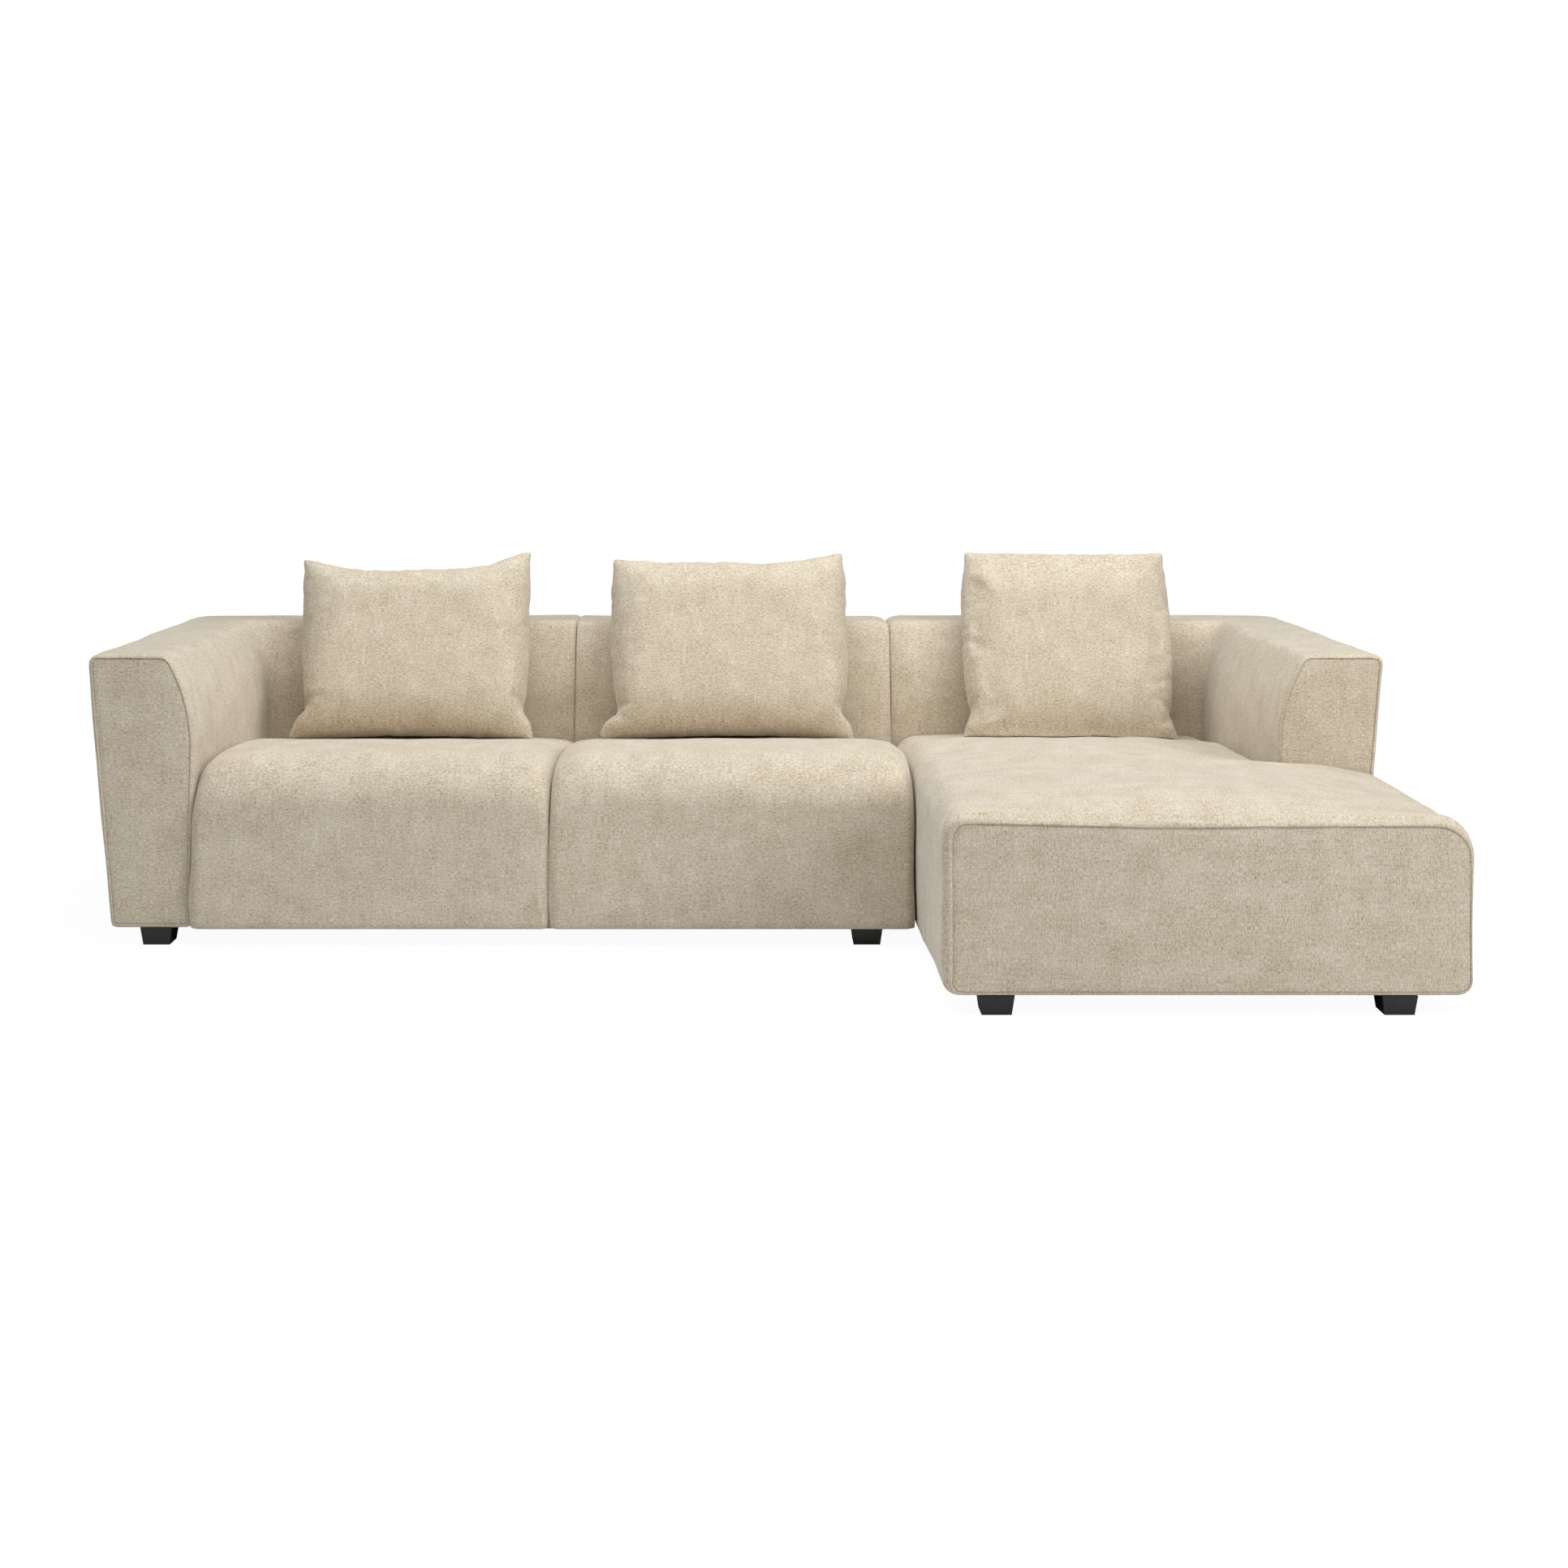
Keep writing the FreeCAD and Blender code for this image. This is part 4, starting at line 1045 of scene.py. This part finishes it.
def plain(name, colour, roughness, metallic=0.0, spots=0.0, scale=60.0, relief=0.0):
    """Plain material with a little variation of colour and relief."""
    graph = Graph(name)
    place = graph.add("ShaderNodeTexCoord")
    noise = graph.noise(place.outputs["Object"], scale, 4.0, 0.6)
    low = [c * (1 - spots) for c in colour[:3]] + [1.0]
    high = [min(1.0, c * (1 + spots)) for c in colour[:3]] + [1.0]
    shade = graph.colour(graph.range(noise, 0.3, 0.7), low, high)
    if relief:
        graph.bump(noise, relief, 0.0006)
    graph.shader.inputs["Metallic"].default_value = metallic
    return graph.surface(Base_Color=shade, Roughness=roughness)


def grained(name, colour, dark):
    """Sawn timber: wavy grain stretched along the longest directions."""
    graph = Graph(name)
    place = graph.add("ShaderNodeTexCoord")
    mapping = graph.add("ShaderNodeMapping")
    mapping.inputs["Scale"].default_value = (6.0, 30.0, 30.0)
    graph.links.new(place.outputs["Object"], mapping.inputs["Vector"])
    noise = graph.noise(mapping.outputs[0], 3.0, 5.0, 0.65)
    shade = graph.colour(graph.range(noise, 0.35, 0.65), colour, dark)
    graph.bump(noise, 0.2, 0.0005)
    return graph.surface(Base_Color=shade, Roughness=0.7)


def paint_nodes():
    """Procedural materials for every structural node, by the ending or start of its name."""
    timber = grained("timber", linear(214, 178, 128), linear(178, 138, 90))
    materials = {
        "cover": plain("hidden_cloth", linear(205, 192, 168), 0.9, spots=0.08),
        "insert": plain("fibre_case", linear(238, 236, 230), 0.9, spots=0.03),
        "foam": plain("foam", linear(238, 224, 170), 0.95, spots=0.05, scale=200.0, relief=0.5),
        "dust_cover": plain("dust_cloth", linear(34, 34, 35), 0.95, spots=0.25, scale=300.0, relief=0.3),
        "felt": plain("felt", linear(150, 148, 144), 0.95, spots=0.12, scale=250.0, relief=0.4),
        "webbing": plain("webbing", linear(62, 62, 68), 0.8, spots=0.2, scale=350.0, relief=0.3),
        "springs": plain("spring_steel", linear(120, 122, 126), 0.35, metallic=1.0, spots=0.1),
        "clips": plain("clip_steel", linear(165, 167, 170), 0.35, metallic=1.0, spots=0.06),
        "studs": plain("stud_zinc", linear(185, 187, 190), 0.3, metallic=1.0, spots=0.06),
        "hooks": plain("hook_zinc", linear(185, 187, 190), 0.3, metallic=1.0, spots=0.06),
        "sockets": plain("socket_zinc", linear(185, 187, 190), 0.3, metallic=1.0, spots=0.06),
        "board": plain("hardboard", linear(120, 88, 58), 0.7, spots=0.15, scale=180.0, relief=0.2),
    }
    foot = plain("foot_black", linear(24, 24, 25), 0.42, spots=0.15, scale=90.0, relief=0.12)
    for name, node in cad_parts.items():
        if name.startswith("foot_"):
            chosen = foot
        else:
            endings = [end for end in materials if name.endswith(end)]
            chosen = materials[max(endings, key=len)] if endings else timber
        node.data.materials.clear()
        node.data.materials.append(chosen)


# Stage, lights and camera

def floor_material():
    """White to the camera with a faint shadow, fading to plain white far out; grey to all other rays."""
    graph = Graph("floor_white")
    bounce = graph.add("ShaderNodeBsdfDiffuse")
    bounce.inputs["Color"].default_value = (0.80, 0.80, 0.80, 1)
    shadowed = graph.add("ShaderNodeBsdfDiffuse")
    shadowed.inputs["Color"].default_value = (0.07, 0.07, 0.07, 1)
    place = graph.add("ShaderNodeTexCoord")
    far = graph.add("ShaderNodeVectorMath", operation="LENGTH")
    graph.links.new(place.outputs["Object"], far.inputs[0])
    glow = graph.add("ShaderNodeEmission")
    fade_start, fade_end = 2.2, 4.5
    graph.feed(glow.inputs["Strength"], graph.range(far.outputs["Value"], fade_start, fade_end, 0.955, 1.0))
    seen = graph.add("ShaderNodeAddShader")
    graph.links.new(shadowed.outputs[0], seen.inputs[0])
    graph.links.new(glow.outputs[0], seen.inputs[1])
    ray = graph.add("ShaderNodeLightPath")
    choose = graph.add("ShaderNodeMixShader")
    graph.links.new(ray.outputs["Is Camera Ray"], choose.inputs[0])
    graph.links.new(bounce.outputs[0], choose.inputs[1])
    graph.links.new(seen.outputs[0], choose.inputs[2])
    graph.links.new(choose.outputs[0], graph.nodes["Material Output"].inputs["Surface"])
    graph.nodes.remove(graph.shader)
    return graph.material


def build_stage():
    bpy.ops.mesh.primitive_plane_add(size=60.0, location=(0, 0, 0))
    floor = bpy.context.object
    floor.name = "floor"
    floor.data.materials.append(floor_material())


def build_world():
    """White to the camera and through clear things, and a faint ambient light for all the rest."""
    world = bpy.data.worlds.new("studio")
    bpy.context.scene.world = world
    world.use_nodes = True
    nodes, links = world.node_tree.nodes, world.node_tree.links
    ambient = nodes["Background"]
    ambient.inputs["Color"].default_value = (1.0, 0.995, 0.985, 1)
    ambient.inputs["Strength"].default_value = 0.08
    white = nodes.new("ShaderNodeBackground")
    white.inputs["Color"].default_value = (1, 1, 1, 1)
    white.inputs["Strength"].default_value = 1.0
    ray = nodes.new("ShaderNodeLightPath")
    choose = nodes.new("ShaderNodeMixShader")
    seen = nodes.new("ShaderNodeMath")
    seen.operation = "MAXIMUM"
    links.new(ray.outputs["Is Camera Ray"], seen.inputs[0])
    links.new(ray.outputs["Is Transmission Ray"], seen.inputs[1])
    links.new(seen.outputs[0], choose.inputs[0])
    links.new(ambient.outputs[0], choose.inputs[1])
    links.new(white.outputs[0], choose.inputs[2])
    links.new(choose.outputs[0], nodes["World Output"].inputs["Surface"])


def area_light(name, place, target, size, power, colour=(1, 1, 1)):
    data = bpy.data.lights.new(name, "AREA")
    data.shape = "RECTANGLE"
    data.size, data.size_y = size
    data.energy = power
    data.color = colour
    lamp = bpy.data.objects.new(name, data)
    lamp.location = place
    lamp.rotation_euler = (Vector(target) - Vector(place)).to_track_quat("-Z", "Y").to_euler()
    bpy.context.scene.collection.objects.link(lamp)


def build_lights():
    middle = (0, 0, 0.4)
    area_light("overhead", (0.0, 0.1, 3.6), (0, 0.1, 0.4), (4.5, 3.0), 112, (0.97, 0.99, 1.0))
    area_light("front_top", (0.0, -2.2, 3.8), middle, (4.5, 1.8), 56)
    area_light("key_right", (3.8, -2.6, 2.4), middle, (2.5, 2.2), 98)
    area_light("fill_left", (-3.8, -2.6, 2.4), middle, (2.5, 2.2), 19)


def build_camera():
    """Level camera in front, with its frame shifted down so that the sofa stands in the upper part."""
    distance, height = 4.988, 1.203
    data = bpy.data.cameras.new("camera")
    data.lens = 50.0
    data.sensor_width = 36.0
    data.shift_x = 0.0308
    data.shift_y = -0.2319
    camera = bpy.data.objects.new("camera", data)
    camera.location = (0, arm_front - distance, height)
    camera.rotation_euler = (math.pi / 2, 0, 0)
    bpy.context.scene.collection.objects.link(camera)
    bpy.context.scene.camera = camera
    bpy.context.scene.view_settings.view_transform = "Standard"


def dress(things, material):
    for thing in things:
        thing.data.materials.clear()
        thing.data.materials.append(material)


build_camera()
build_world()
build_stage()
build_lights()
paint_nodes()

bolsters = build_bolsters()
seat_left = build_seat("seat_left", seat_lo.x - seat_arm_lap, seat_hi.x + seat_seam_lap, seat_arm_lean, 21)
seat_middle = build_seat("seat_middle", seat_mid_lo.x - seat_seam_lap, seat_mid_hi.x - seat_joint_gap, 0.0, 22)
chaise = build_chaise()
cushions = [build_cushion("left", seat_left, bolsters[0], 41),
            build_cushion("middle", seat_middle, bolsters[1], 42),
            build_cushion("right", chaise, bolsters[2], 43)]

shades = (linear(229, 220, 204), linear(204, 192, 171), linear(157, 139, 111))
dress([*bolsters, seat_left, seat_middle], woven("woven_cloth", *shades))
dress([chaise], woven("woven_cloth_turned", *shades, turned=True))
dress(cushions, woven("woven_cushion", *shades))
